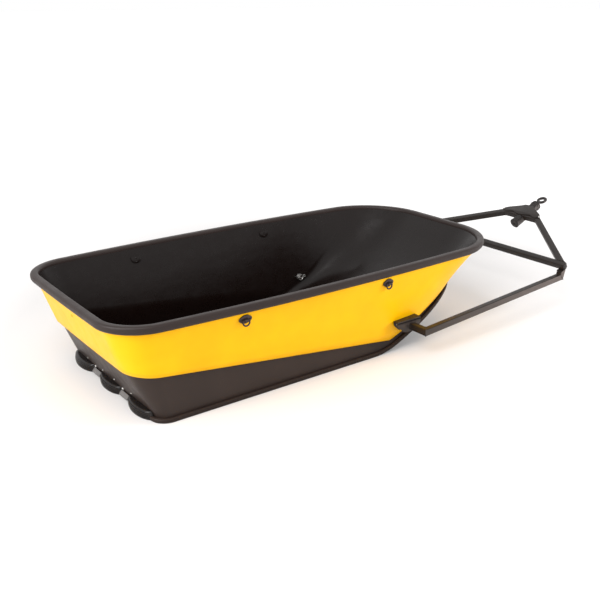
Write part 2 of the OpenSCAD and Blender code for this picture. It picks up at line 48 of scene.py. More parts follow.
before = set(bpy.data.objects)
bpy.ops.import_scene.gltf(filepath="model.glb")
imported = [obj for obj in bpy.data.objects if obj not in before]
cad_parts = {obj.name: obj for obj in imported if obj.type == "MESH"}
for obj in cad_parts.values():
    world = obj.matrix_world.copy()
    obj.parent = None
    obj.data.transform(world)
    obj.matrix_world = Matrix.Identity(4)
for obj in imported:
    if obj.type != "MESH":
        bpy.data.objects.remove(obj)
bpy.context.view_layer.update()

Plan = namedtuple("Plan", "half_w stern stern_r bow corner_l corner_w side_bow")
RIM = Plan(0.450, -0.911, 0.150, 0.905, 0.260, 0.283, 0.0245)
FOOT = Plan(0.368, -0.756, 0.045, 0.740, 0.440, 0.170, 0.0)
LINE = Plan(0.362, -0.832, 0.090, 0.765, 0.430, 0.180, 0.0)
SIDE_END = 0.280
SIDE_MID = -0.020
SIDE_L = 0.760
END_CROWN = 0.004
ROLL_R = 0.016
RIM_Z = 0.377
LINE_Z = 0.175
LINE_FALL = 0.12
RISE_X = 0.200
RISE_R = 0.300
RISE_ANGLE = math.radians(22)
BAND_H = 0.036
SKIN_STEP = 0.014
SKIN_T = 0.004
PAN_T = 0.005
LINER_T = 0.005
COVE_R = 0.045
BOW_COVE_R = 0.140
COVE_START = 0.390
COVE_LENGTH = 0.260
LIP_H = 0.016
LIP_W = 0.016
GAP = 0.0003
FLOOR_IN = PAN_T + GAP + LINER_T
ORIGIN_X = RIM.stern - ROLL_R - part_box("rim")[0].x

TUBE_W = 0.028
PIVOT = (0.365, 0.112)
SKIN_PIVOT_Y = 0.382604
LINER_PIVOT_Y = 0.359698
CHEEK_Y = SKIN_PIVOT_Y + 0.038
ELBOW_Y = CHEEK_Y + 0.079
BRACKET_L = 0.130
BRACKET_BACK = -0.082
BRACKET_TOP = 0.031
BRACKET_LOW = -0.022
BRACKET_T = 0.004
CROSS_X = 1.283
CROSS_Y = 0.450
ARM_END_Z = 0.149
CROSS_Z = 0.200
FRAME_ANGLE = math.radians(24)
RISER_RUN = 0.014
BEND_L = 0.262
BEND_Y = 0.100
HITCH_D = 0.048
HITCH_BACK = 0.207
HITCH_FRONT = 0.366
EYE_L = 0.427
EYE_D = 0.053
EYE_HOLE = 0.026
EYE_T = 0.013
HITCH_N = TUBE_W / 2 - HITCH_D / 2

LASH_X = {"front": 0.210, "rear": -0.440}
LASH_Z = 0.333
PAD_W = 0.052
PAD_H = 0.036
PAD_T = 0.004
WIRE_D = 0.006
RING_R = 0.013
LEG_L = 0.008
RUNNER_W = 0.175
RUNNER_OUT = 0.022
CHANNEL_W = 0.066
CHANNEL_H = 0.011
SIDES = ((1, "left"), (-1, "right"))

STERN_STEPS = 44
CORNER_STEPS = 20
SIDE_STEPS = 36
BOW_STEPS = 60


class SledColours(bpy.types.PropertyGroup):
    """Colours of the sled's finishes."""

    yellow: bpy.props.FloatVectorProperty(
        name="Skin", description="Yellow of the outer skin", subtype="COLOR",
        size=3, min=0, max=1, default=(1.0, 0.50, 0.001))
    black: bpy.props.FloatVectorProperty(
        name="Liner", description="Black of the tub's inside", subtype="COLOR",
        size=3, min=0, max=1, default=(0.0052, 0.0024, 0.0018))
    edge: bpy.props.FloatVectorProperty(
        name="Rim", description="Charcoal of the rolled edge", subtype="COLOR",
        size=3, min=0, max=1, default=(0.027, 0.0185, 0.0165))
    pan: bpy.props.FloatVectorProperty(
        name="Pan", description="Warm black of the skid pan", subtype="COLOR",
        size=3, min=0, max=1, default=(0.030, 0.0200, 0.0165))
    coat: bpy.props.FloatVectorProperty(
        name="Drawbar", description="Powder coat of the steel", subtype="COLOR",
        size=3, min=0, max=1, default=(0.017, 0.0125, 0.0105))
    # Pale grey of the channel plates: painted light, a sheet standing in for the channels' far walls lit by the white
    # floor
    lit_channel_grey: bpy.props.FloatVectorProperty(
        name="Channels", description="Grey of the plates between the runner ends", subtype="COLOR",
        size=3, min=0, max=1, default=(0.13, 0.12, 0.115))
    plug: bpy.props.FloatVectorProperty(
        name="Plug", description="Deeper yellow of the small plug in the stern", subtype="COLOR",
        size=3, min=0, max=1, default=(0.85, 0.36, 0.001))
    runner: bpy.props.FloatVectorProperty(
        name="Runner ends", description="Glossy black of the runner ends", subtype="COLOR",
        size=3, min=0, max=1, default=(0.009, 0.0068, 0.0062))
    fitting: bpy.props.FloatVectorProperty(
        name="Lashing", description="Coat of the lashing pads and rings", subtype="COLOR",
        size=3, min=0, max=1, default=(0.024, 0.016, 0.015))
    bead: bpy.props.FloatVectorProperty(
        name="Welds", description="Coat over the weld beads", subtype="COLOR",
        size=3, min=0, max=1, default=(0.022, 0.018, 0.016))
    cast: bpy.props.FloatVectorProperty(
        name="Hitch", description="Coat of the hitch tube and tow ring", subtype="COLOR",
        size=3, min=0, max=1, default=(0.020, 0.017, 0.016))
    bare: bpy.props.FloatVectorProperty(
        name="Bare steel", description="Worn or bare steel of the bushes and weld tips", subtype="COLOR",
        size=3, min=0, max=1, default=(0.50, 0.49, 0.47))
    zinc: bpy.props.FloatVectorProperty(
        name="Fasteners", description="Zinc plating of the bolts", subtype="COLOR",
        size=3, min=0, max=1, default=(0.55, 0.54, 0.52))


class SledStudio(bpy.types.PropertyGroup):
    """Light and camera."""

    key: bpy.props.FloatProperty(
        name="Key lamp", description="Power of the large lamp over the stern", default=110.0, min=0)
    stern: bpy.props.FloatProperty(
        name="Stern lamp", description="Power of the low lamp behind the stern", default=80.0, min=0)
    bow: bpy.props.FloatProperty(
        name="Bow lamp", description="Power of the lamp ahead on the right", default=95.0, min=0)
    fill: bpy.props.FloatProperty(
        name="Fill lamp", description="Power of the lamp on the right", default=10.0, min=0)
    sky: bpy.props.FloatProperty(
        name="Room light", description="Strength of the even light all round", default=0.68, min=0)
    lens: bpy.props.FloatProperty(
        name="Focal length", description="Focal length of the camera in millimetres",
        default=49.945, min=10, max=200)


def grow(plan, distance):
    """The plan moved outwards by a distance, its corners growing with it."""
    return Plan(plan.half_w + distance, plan.stern - distance, max(plan.stern_r + distance, 0.001),
                plan.bow + distance, plan.corner_l + distance, plan.corner_w + distance, plan.side_bow)


def half_outline(plan):
    """One side of a plan from the middle of the stern to the middle of the bow: a straight stern,
    a round corner, a side whose steps shrink forwards, and a bow of even steps that runs
    straight, round a quarter ellipse and in to the middle."""
    corner_y = plan.half_w - plan.stern_r
    corner_x = plan.stern + plan.stern_r
    share = np.arange(STERN_STEPS) / STERN_STEPS
    stern = np.stack([np.full(STERN_STEPS, plan.stern), corner_y * share], 1)
    turn = np.pi / 2 * np.arange(CORNER_STEPS) / CORNER_STEPS
    corner = np.stack([corner_x - plan.stern_r * np.cos(turn), corner_y + plan.stern_r * np.sin(turn)], 1)
    share = 1 - (1 - np.arange(SIDE_STEPS) / SIDE_STEPS) ** 1.6
    side = np.stack([corner_x + (SIDE_END - corner_x) * share, np.full(SIDE_STEPS, plan.half_w)], 1)
    bow_x = plan.bow - plan.corner_l
    bow_y = plan.half_w - plan.corner_w
    straight = bow_x - SIDE_END
    arc = np.pi / 4 * (plan.corner_l + plan.corner_w)
    along = np.arange(BOW_STEPS + 1) / BOW_STEPS * (straight + arc + bow_y)
    turn = np.clip((along - straight) / arc, 0, 1) * np.pi / 2
    bow = np.stack([
        np.where(along < straight, SIDE_END + along, bow_x + plan.corner_l * np.sin(turn)),
        np.where(along < straight + arc, bow_y + plan.corner_w * np.cos(turn),
                 np.maximum(bow_y - (along - straight - arc), 0))], 1)
    half = np.concatenate([stern, corner, side, bow])
    half[:, 0] -= END_CROWN * (half[:, 1] / plan.half_w) ** 2 * (half[:, 0] - SIDE_MID) / SIDE_L
    half[:, 1] *= 1 - plan.side_bow / plan.half_w * ((half[:, 0] - SIDE_MID) / SIDE_L) ** 2
    return half


def floor_z(x):
    """Height of the pan's bottom: flat, then an arc, then a straight rise to the bow."""
    bend_x = RISE_X + RISE_R * math.sin(RISE_ANGLE)
    bend_z = RISE_R * (1 - math.cos(RISE_ANGLE))
    run = np.clip(x - RISE_X, 0, RISE_R * math.sin(RISE_ANGLE))
    return np.where(x < bend_x, RISE_R - np.sqrt(RISE_R ** 2 - run ** 2),
                    bend_z + (x - bend_x) * math.tan(RISE_ANGLE))


def edge_z(x):
    """Height of the line between the pan and the skin, which falls towards the bow."""
    return np.maximum(LINE_Z - LINE_FALL * (x - FOOT.stern), floor_z(x) + BAND_H)


def ring(plan, height):
    """A closed ring of points round a plan: right side forwards, then left side back.
    The height is a number or a function of x."""
    half = half_outline(plan)
    z = height(half[:, 0]) if callable(height) else np.full(len(half), height)
    right = np.stack([half[:, 0] - ORIGIN_X, -half[:, 1], z], 1)
    left = right[-2:0:-1] * (1, -1, 1)
    return np.concatenate([right, left])


def on_floor(plan, lift):
    """A ring that keeps one height above the pan's bottom."""
    return ring(plan, lambda x: floor_z(x) + lift)


def on_edge(plan, lift):
    """A ring that keeps one height above the line between pan and skin."""
    return ring(plan, lambda x: edge_z(x) + lift)


def roll(radius, angle):
    """A ring round the rim at an angle on a circle about the rolled edge's middle."""
    return ring(grow(RIM, radius * math.cos(angle)), RIM_Z + radius * math.sin(angle))


def new_piece(name, points, faces, body, material, slot, replaced=(), crease=40, smooth=True):
    """A mesh piece from points and faces, riding on a CAD body."""
    mesh = bpy.data.meshes.new(name)
    mesh.from_pydata(np.asarray(points).reshape(-1, 3).tolist(), [], faces)
    mesh.validate()
    mesh.update()
    if smooth:
        mesh.shade_smooth()
        mesh.set_sharp_from_angle(angle=math.radians(crease))
    piece = bpy.data.objects.new(name, mesh)
    bpy.context.scene.collection.objects.link(piece)
    mesh.materials.append(material)
    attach(piece, body)
    if replaced:
        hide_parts(*replaced)
    return piece


def skin_faces(count, rings, loop=False, base=0):
    """Quads between rings of points, the last ring joined to the first in a loop."""
    spans = rings if loop else rings - 1
    low = np.arange(spans)[:, None] * count + np.arange(count)[None, :]
    step = np.arange(spans)[:, None] * count + (np.arange(count) + 1)[None, :] % count
    high = (low + count) % (rings * count)
    next_high = (step + count) % (rings * count)
    return (np.stack([low, step, next_high, high], -1).reshape(-1, 4) + base).tolist()


def strip_faces(count, first, up=True):
    """A floor across one ring of a hull, in strips from the right side to the left."""
    half = count // 2
    faces = [[first, first + 1, first + count - 1]]
    j = np.arange(1, half - 1)
    faces += (np.stack([j, j + 1, count - j - 1, count - j], 1) + first).tolist()
    faces.append([first + half - 1, first + half, first + half + 1])
    return faces if up else [face[::-1] for face in faces]


def lofted(rings, loop=False):
    """Points and faces of a solid through hull rings: a loop, or closed by floors at both ends."""
    count = len(rings[0])
    faces = skin_faces(count, len(rings), loop)
    if not loop:
        faces += strip_faces(count, 0, up=False) + strip_faces(count, count * (len(rings) - 1))
    return np.concatenate(rings), faces


def rounded_square(side, radius, steps=4):
    """Points of a rounded square, counter-clockwise."""
    turn = np.concatenate([np.linspace(0, np.pi / 2, steps + 1) + k * np.pi / 2 for k in range(4)])
    corner = np.repeat([[1, 1], [-1, 1], [-1, -1], [1, -1]], steps + 1, axis=0) * (side / 2 - radius)
    return corner + radius * np.stack([np.cos(turn), np.sin(turn)], 1)


def unit(vector):
    """The vector at length 1."""
    vector = np.asarray(vector, float)
    return vector / np.linalg.norm(vector)


def swept(path, profile, across):
    """A profile carried along a path with a mitre at each corner, closed at both ends.
    Its first axis lies along 'across' and its second square to that and to the path."""
    path = np.asarray(path, float)
    count = len(profile)
    ahead = unit(path[1] - path[0])
    across = unit(np.asarray(across, float) - ahead * np.dot(across, ahead))
    up = np.cross(ahead, across)
    points = path[0] + profile[:, :1] * across + profile[:, 1:] * up
    rings = [points]
    for k in range(1, len(path)):
        ahead = unit(path[k] - path[k - 1])
        mitre = ahead if k == len(path) - 1 else unit(ahead + unit(path[k + 1] - path[k]))
        points = points + ahead * (((path[k] - points) @ mitre) / (ahead @ mitre))[:, None]
        rings.append(points)
    faces = skin_faces(count, len(rings))
    last = count * (len(rings) - 1)
    faces.append(list(range(count - 1, -1, -1)))
    faces.append(list(range(last, last + count)))
    return np.concatenate(rings), faces


def turned(profile, start, axis, sides=40, flats=0.0):
    """A profile of (radius, height) turned about an axis from a start point.
    With flats, the radius is cut back to a hexagon of that half width."""
    profile = np.asarray(profile, float)
    axis = unit(axis)
    side = unit(np.cross(axis, (0, 0, 1) if abs(axis[2]) < 0.9 else (1, 0, 0)))
    other = np.cross(axis, side)
    turn = np.arange(sides) * 2 * np.pi / sides
    radius = np.repeat(profile[:, :1], sides, 1)
    if flats:
        fold = (turn + np.pi / 6) % (np.pi / 3) - np.pi / 6
        radius = np.minimum(radius, flats / np.cos(fold)[None, :])
    spoke = np.cos(turn)[:, None] * side + np.sin(turn)[:, None] * other
    points = np.asarray(start, float) + radius[:, :, None] * spoke[None] \
        + profile[:, 1][:, None, None] * axis
    faces = skin_faces(sides, len(profile))
    faces.append(list(range(sides - 1, -1, -1)))
    last = sides * (len(profile) - 1)
    faces.append(list(range(last, last + sides)))
    return points.reshape(-1, 3), faces


def turned_loop(profile, start, axis, sides=64):
    """A closed profile of (radius, height) turned about an axis, with a hole in the middle."""
    profile = np.asarray(profile, float)
    points, _ = turned(profile, start, axis, sides)
    return points, skin_faces(sides, len(profile), loop=True)


def joined(*parts):
    """Several solids as one set of points and faces."""
    points, faces, base = [], [], 0
    for part_points, part_faces in parts:
        points.append(np.asarray(part_points).reshape(-1, 3))
        faces += [[i + base for i in face] for face in part_faces]
        base += len(points[-1])
    return np.concatenate(points), faces


def flipped(points, faces):
    """The mirror image of a solid across the middle of the sled."""
    return np.asarray(points).reshape(-1, 3) * (1, -1, 1), [face[::-1] for face in faces]


def on_side(side, solid):
    """A solid drawn for the left side, on the side asked for."""
    return solid if side > 0 else flipped(*solid)


def between(low, high, share):
    """Points a share of the way from low to high."""
    return low * (1 - share) + high * share


def eased(share):
    """A smooth step: 3 s^2 - 2 s^3 of the share kept within 0 and 1."""
    share = np.clip(share, 0, 1)
    return share * share * (3 - 2 * share)


def cross_frames(path, closed):
    """Tangents of a path by central differences, and two axes square to them that don't twist."""
    path = np.asarray(path, float)
    if closed:
        ahead = np.roll(path, -1, 0) - np.roll(path, 1, 0)
    else:
        ahead = np.gradient(path, axis=0)
    ahead /= np.linalg.norm(ahead, axis=1)[:, None]
    across = [unit(np.cross(ahead[0], (0.31, 0.22, 0.92)))]
    for tangent in ahead[1:]:
        across.append(unit(across[-1] - tangent * np.dot(across[-1], tangent)))
    across = np.array(across)
    return ahead, across, np.cross(ahead, across)


def wire(path, radius, sides=12, closed=False):
    """A round wire: circles of a radius, one number or one for each point, across a path."""
    path = np.asarray(path, float)
    _, across, up = cross_frames(path, closed)
    radius = np.broadcast_to(np.asarray(radius, float), len(path))[:, None, None]
    turn = np.arange(sides) * 2 * np.pi / sides
    circle = np.cos(turn)[None, :, None] * across[:, None] + np.sin(turn)[None, :, None] * up[:, None]
    points = path[:, None] + radius * circle
    faces = skin_faces(sides, len(path), loop=closed)
    if not closed:
        last = sides * (len(path) - 1)
        faces += [list(range(sides - 1, -1, -1)), list(range(last, last + sides))]
    return points.reshape(-1, 3), faces


def stroke(corners, spacing=0.002):
    """Even points along straight lines between corners."""
    corners = np.asarray(corners, float)
    length = np.concatenate([[0], np.cumsum(np.linalg.norm(np.diff(corners, axis=0), axis=1))])
    at = np.linspace(0, length[-1], max(int(length[-1] / spacing), 4))
    return np.stack([np.interp(at, length, corners[:, k]) for k in range(3)], 1)


def weld(corners, radius=0.0018, closed=False):
    """A weld bead: a wire along the joint whose radius swells and shrinks at every puddle, 4 mm apart."""
    path = stroke(corners)
    beat = np.arange(len(path)) * np.pi
    size = radius * (1 + 0.16 * np.cos(beat))
    size[[0, -1]] *= 0.6
    return wire(path, size, 8, closed)


def softened(outline, radius, steps=5):
    """A polygon with its corners rounded by parabolas that start a radius before each corner."""
    outline = np.asarray(outline, float)
    back = np.roll(outline, 1, 0) - outline
    ahead = np.roll(outline, -1, 0) - outline
    reach = [np.minimum(radius / np.linalg.norm(v, axis=1), 0.48)[:, None] for v in (back, ahead)]
    start, end = outline + back * reach[0], outline + ahead * reach[1]
    t = np.linspace(0, 1, steps)[None, :, None]
    curve = start[:, None] * (1 - t) ** 2 + outline[:, None] * 2 * t * (1 - t) + end[:, None] * t * t
    return curve.reshape(-1, 2)


def shrunk(outline, distance):
    """A polygon moved inwards by a distance, each point along the mean of its two sides' normals."""
    along = np.roll(outline, -1, 0) - np.roll(outline, 1, 0)
    normal = np.stack([-along[:, 1], along[:, 0]], 1)
    normal /= np.maximum(np.linalg.norm(normal, axis=1), 1e-9)[:, None]
    area = np.sum(outline[:, 0] * np.roll(outline[:, 1], -1) - outline[:, 1] * np.roll(outline[:, 0], -1))
    return outline + normal * distance * (1 if area > 0 else -1)


def plate(outline, start, right, up, thickness, edge=0.0007):
    """A plate with rounded edges: an outline in the axes right and up, from a start point along
    their cross product, with its first and last layers shrunk by the edge radius."""
    outline = np.asarray(outline, float)
    out = np.cross(right, up)
    area = np.sum(outline[:, 0] * np.roll(outline[:, 1], -1) - outline[:, 1] * np.roll(outline[:, 0], -1))
    outline = outline if area > 0 else outline[::-1]
    layers = []
    for inset, height in ((edge, 0), (edge * 0.3, edge * 0.3), (0, edge), (0, thickness - edge),
                          (edge * 0.3, thickness - edge * 0.3), (edge, thickness)):
        flat = shrunk(outline, inset)
        layers.append(np.asarray(start) + flat[:, :1] * right + flat[:, 1:] * up + height * out)
    count = len(outline)
    faces = skin_faces(count, len(layers))
    last = count * (len(layers) - 1)
    faces += [list(range(count - 1, -1, -1)), list(range(last, last + count))]
    return np.concatenate(layers), faces


def dome(centre, axis, radius, height, sides=20):
    """A round head that stands on a surface: an elliptic profile turned about the axis."""
    turn = np.linspace(0, np.pi / 2, 7)
    profile = [(radius, -0.001)] + [(radius * max(math.cos(a), 0.02), height * math.sin(a)) for a in turn]
    return turned(profile, centre, axis, sides)


def hex_head(centre, axis, across_flats, height):
    """A hexagon head with a turned chamfer and a washer face."""
    half = across_flats / 2
    return turned([(half * 0.96, 0), (half * 1.16, 0.0006), (half * 1.16, height - 0.0016),
                   (half * 0.99, height - 0.0002), (half * 0.9, height), (0.0004, height)],
                  centre, axis, 48, half)


def frame_point(along, y, out):
    """A point of the sloping front frame: along it from the cross bar, and out of its plane."""
    c, s = math.cos(FRAME_ANGLE), math.sin(FRAME_ANGLE)
    return np.array([CROSS_X - ORIGIN_X + along * c - out * s, y, CROSS_Z + along * s + out * c])


FRAME_AHEAD = np.array([math.cos(FRAME_ANGLE), 0, math.sin(FRAME_ANGLE)])
FRAME_OUT = np.array([-math.sin(FRAME_ANGLE), 0, math.cos(FRAME_ANGLE)])


def skin_rings():
    """The lower and upper rings of the skin's outer face."""
    inside = grow(RIM, GAP - ROLL_R * math.cos(math.pi / 4))
    return on_edge(grow(LINE, SKIN_STEP), 0), ring(grow(inside, SKIN_T), RIM_Z - ROLL_R - GAP)


def liner_rings():
    """The rings where the liner's wall starts, above its cove, and ends, under the rim."""
    foot = on_floor(grow(FOOT, -FLOOR_IN), FLOOR_IN)
    base = on_floor(grow(FOOT, -FLOOR_IN), LIP_H)
    line = on_edge(grow(LINE, -FLOOR_IN), 0)
    top = ring(grow(RIM, -ROLL_R - 2 * GAP), RIM_Z)
    share = eased((foot[:, 0] + ORIGIN_X - COVE_START) / COVE_LENGTH)
    cove_top = foot[:, 2] + COVE_R + (BOW_COVE_R - COVE_R) * share

    def wall(z):
        under = ((z - base[:, 2]) / (line[:, 2] - base[:, 2]))[:, None]
        over = ((z - line[:, 2]) / (top[:, 2] - line[:, 2]))[:, None]
        return np.where((z < line[:, 2])[:, None], between(base, line, under), between(line, top, over))

    return foot, share, wall(cove_top), wall(np.maximum(line[:, 2], cove_top + 0.001)), top


def wall_axes(low, high, x, z):
    """A place on the left wall between two rings: the point, and axes along the hull, out of the
    wall and up it, from the wall's place a little before, behind, above and below."""
    half = len(low) // 2

    def wall_y(at_x, at_z):
        share = ((at_z - low[half:, 2]) / (high[half:, 2] - low[half:, 2]))[:, None]
        line = between(low[half:], high[half:], share)
        line = line[(line[:, 0] < 0.25) & (line[:, 0] > -1.15)]
        order = np.argsort(line[:, 0])
        return float(np.interp(at_x, line[order, 0], line[order, 1]))

    x -= ORIGIN_X
    lean = math.atan((wall_y(x, z + 0.008) - wall_y(x, z - 0.008)) / 0.016)
    turn = math.atan((wall_y(x + 0.012, z) - wall_y(x - 0.012, z)) / 0.024)
    along = np.array([math.cos(turn), math.sin(turn), 0])
    out = np.array([-math.sin(turn) * math.cos(lean), math.cos(turn) * math.cos(lean), -math.sin(lean)])
    up = np.array([-math.sin(turn) * math.sin(lean), math.cos(turn) * math.sin(lean), math.cos(lean)])
    return np.array([x, wall_y(x, z), z]), along, out, up


def new_material(name):
    """An empty node material with its main shader."""
    material = bpy.data.materials.new(name)
    material.use_nodes = True
    tree = material.node_tree
    return material, tree, tree.nodes["Principled BSDF"]


def add_node(tree, kind, links=(), **values):
    """A node with its sockets set, and its inputs linked from other nodes' outputs."""
    node = tree.nodes.new(kind)
    for name, value in values.items():
        if name in node.inputs:
            node.inputs[name].default_value = value
        else:
            setattr(node, name, value)
    for socket, source in links:
        tree.links.new(source, node.inputs[socket])
    return node


def noise(tree, scale, detail=4.0, rough=0.5, stretch=None, distortion=0.0):
    """Noise on Object coordinates, stretched if asked."""
    place = add_node(tree, "ShaderNodeTexCoord").outputs["Object"]
    if stretch:
        mapped = add_node(tree, "ShaderNodeMapping", [("Vector", place)])
        mapped.inputs["Scale"].default_value = stretch
        place = mapped.outputs[0]
    return add_node(tree, "ShaderNodeTexNoise", [("Vector", place)], Scale=scale, Detail=detail,
                    Roughness=rough, Distortion=distortion).outputs["Fac"]


def ramp(tree, source, low, high, from_low=0.3, from_high=0.7):
    """The source's range mapped to another range."""
    return add_node(tree, "ShaderNodeMapRange", [(0, source)], **{
        "From Min": from_low, "From Max": from_high, "To Min": low, "To Max": high}).outputs[0]


def tinted(tree, colour, source, dark, light):
    """The colour made darker and lighter with the source."""
    mix = add_node(tree, "ShaderNodeMix", data_type="RGBA")
    tree.links.new(source, mix.inputs["Factor"])
    mix.inputs["A"].default_value = (*[c * dark for c in colour], 1)
    mix.inputs["B"].default_value = (*[min(c * light, 1.0) for c in colour], 1)
    return mix.outputs["Result"]


def moulded_plastic(name, colour, rough, grain, sheen_spread, specular=0.5):
    """Moulded polyethylene: soft blotches of colour, an uneven gloss and a fine pebbled grain."""
    material, tree, shader = new_material(name)
    blotch = noise(tree, 7.0, 3.0)
    tree.links.new(tinted(tree, colour, ramp(tree, blotch, 0, 1), 0.93, 1.06), shader.inputs["Base Color"])
    cloud = noise(tree, 24.0, 5.0)
    tree.links.new(ramp(tree, cloud, rough - sheen_spread, rough + sheen_spread), shader.inputs["Roughness"])
    fine = noise(tree, 900.0, 2.0)
    bump = add_node(tree, "ShaderNodeBump", [("Height", fine)], Strength=grain, Distance=0.0004)
    wave = noise(tree, 9.0, 2.0, stretch=(1, 1, 1.6))
    soft = add_node(tree, "ShaderNodeBump", [("Height", wave), ("Normal", bump.outputs[0])],
                    Strength=0.25, Distance=0.004)
    tree.links.new(soft.outputs[0], shader.inputs["Normal"])
    shader.inputs["Specular IOR Level"].default_value = specular
    return material


def powder_coat(name, colour):
    """Powder coat on steel: a satin skin with a fine orange peel, and a painted sheen that makes the faces that look
    sideways paler, the more so towards the hitch, broken by fine streaks along the tube."""
    material, tree, shader = new_material(name)
    blotch = noise(tree, 30.0, 3.0)
    place = add_node(tree, "ShaderNodeTexCoord")
    way = add_node(tree, "ShaderNodeSeparateXYZ", [(0, place.outputs["Normal"])])
    spot = add_node(tree, "ShaderNodeSeparateXYZ", [(0, place.outputs["Object"])])
    # Painted sheen: faces that look sideways, more so towards the hitch, get a paler colour (five times the coat plus
    # 0.02) that stands in for side light and the white floor's reflection
    sideways = add_node(tree, "ShaderNodeMath", [(0, way.outputs["Y"])], operation="ABSOLUTE").outputs[0]
    facing = ramp(tree, sideways, 0, 1, 0.80, 0.95)
    ahead = ramp(tree, spot.outputs["X"], 0.30, 1.0, 0.0, 0.9)
    streak = ramp(tree, noise(tree, 260.0, 3.0, stretch=(0.04, 1, 1)), 0.75, 1.15)
    painted_side_sheen = add_node(tree, "ShaderNodeMath", [(0, facing), (1, ahead)], operation="MULTIPLY").outputs[0]
    painted_side_sheen = add_node(tree, "ShaderNodeMath", [(0, painted_side_sheen), (1, streak)], operation="MULTIPLY").outputs[0]
    base = add_node(tree, "ShaderNodeMix", [("Factor", painted_side_sheen)], data_type="RGBA")
    tree.links.new(tinted(tree, colour, ramp(tree, blotch, 0, 1), 0.85, 1.15), base.inputs["A"])
    base.inputs["B"].default_value = (*[c * 5 + 0.02 for c in colour], 1)
    tree.links.new(base.outputs["Result"], shader.inputs["Base Color"])
    tree.links.new(ramp(tree, noise(tree, 60.0), 0.34, 0.46), shader.inputs["Roughness"])
    peel = noise(tree, 420.0, 2.0)
    bump = add_node(tree, "ShaderNodeBump", [("Height", peel)], Strength=0.35, Distance=0.0006)
    tree.links.new(bump.outputs[0], shader.inputs["Normal"])
    shader.inputs["Specular IOR Level"].default_value = 0.28
    return material


def zinc_plate(name, colour):
    """Zinc plating: bright metal with cloudy patches and fine scratches."""
    material, tree, shader = new_material(name)
    shader.inputs["Metallic"].default_value = 1.0
    cloud = noise(tree, 90.0, 5.0)
    tree.links.new(tinted(tree, colour, ramp(tree, cloud, 0, 1), 0.8, 1.2), shader.inputs["Base Color"])
    tree.links.new(ramp(tree, cloud, 0.28, 0.48), shader.inputs["Roughness"])
    scratch = noise(tree, 300.0, 2.0, stretch=(1, 8, 1))
    bump = add_node(tree, "ShaderNodeBump", [("Height", scratch)], Strength=0.2, Distance=0.0002)
    tree.links.new(bump.outputs[0], shader.inputs["Normal"])
    return material


MAKERS = {
    "yellow": lambda c: moulded_plastic("skin yellow", c, 0.36, 0.10, 0.05, 0.15),
    "black": lambda c: moulded_plastic("liner black", c, 0.29, 0.10, 0.04, 0.28),
    "edge": lambda c: moulded_plastic("rim charcoal", c, 0.42, 0.4, 0.06, 0.25),
    "pan": lambda c: moulded_plastic("pan black", c, 0.44, 0.4, 0.06, 0.25),
    "lit_channel_grey": lambda c: moulded_plastic("channel grey", c, 0.30, 0.2, 0.05, 0.6),
    "plug": lambda c: moulded_plastic("plug yellow", c, 0.30, 0.10, 0.05, 0.4),
    "runner": lambda c: moulded_plastic("runner black", c, 0.26, 0.3, 0.05, 0.28),
    "fitting": lambda c: powder_coat("fitting coat", c),
    "coat": lambda c: powder_coat("drawbar coat", c),
    "bead": lambda c: powder_coat("weld coat", c),
    "cast": lambda c: powder_coat("hitch coat", c),
    "bare": lambda c: zinc_plate("bare steel", c),
    "zinc": lambda c: zinc_plate("zinc plate", c),
}
made = {}


def finish_of(name):
    """The material of a finish, made once in its own colour."""
    if name not in made:
        made[name] = MAKERS[name](tuple(getattr(bpy.context.scene.sled_colours, name)))
    return made[name]


class SLED_OT_liner(bpy.types.Operator):
    """Build the black inside of the tub: floor, cove and sloping walls"""

    bl_idname = "sled.liner"
    bl_label = "Tub liner"

    def execute(self, context):
        foot, share, high, bend, top = liner_rings()
        outer_foot = grow(FOOT, -PAN_T - GAP)
        seat_r = ROLL_R + 2 * GAP
        rings = [on_floor(outer_foot, PAN_T + GAP), on_floor(outer_foot, LIP_H),
                 on_edge(grow(LINE, -PAN_T - GAP), 0)]
        rings += [roll(seat_r, a) for a in np.radians([-135, -146, -157, -169, -180])]
        rings += [between(top, bend, s) for s in np.linspace(0.1, 1, 10)]
        small = ring(grow(FOOT, -FLOOR_IN - COVE_R), 0)
        large = ring(grow(FOOT, -FLOOR_IN - BOW_COVE_R), 0)
        low = between(small, large, share[:, None])
        low[:, 2] = floor_z(low[:, 0] + ORIGIN_X) + FLOOR_IN
        rings += [high * (1 - t) ** 2 + foot * 2 * t * (1 - t) + low * t * t for t in np.linspace(0, 1, 15)]
        points, faces = lofted(rings)
        new_piece("tub_liner", points, faces, "sled", finish_of("black"), "black_plastic", ["liner"], 60)
        return {"FINISHED"}


class SLED_OT_rim(bpy.types.Operator):
    """Build the rolled edge round the top of the tub"""

    bl_idname = "sled.rim"
    bl_label = "Rolled rim"

    def execute(self, context):
        # The upper half is squarer than a circle: (|cos a|^k + |sin a|^k)^(-1/k) with k from 2 to 3.4
        rings = []
        for a in np.pi + np.arange(36) * 2 * np.pi / 36:
            k = 2 + 1.4 * eased(0.5 + math.sin(a))
            reach = (abs(math.cos(a)) ** k + abs(math.sin(a)) ** k) ** (-1 / k)
            rings.append(roll(ROLL_R * reach, a))
        points, faces = lofted(rings, loop=True)
        new_piece("rolled_rim", points, faces, "sled", finish_of("edge"), "black_plastic", ["rim"], 70)
        return {"FINISHED"}


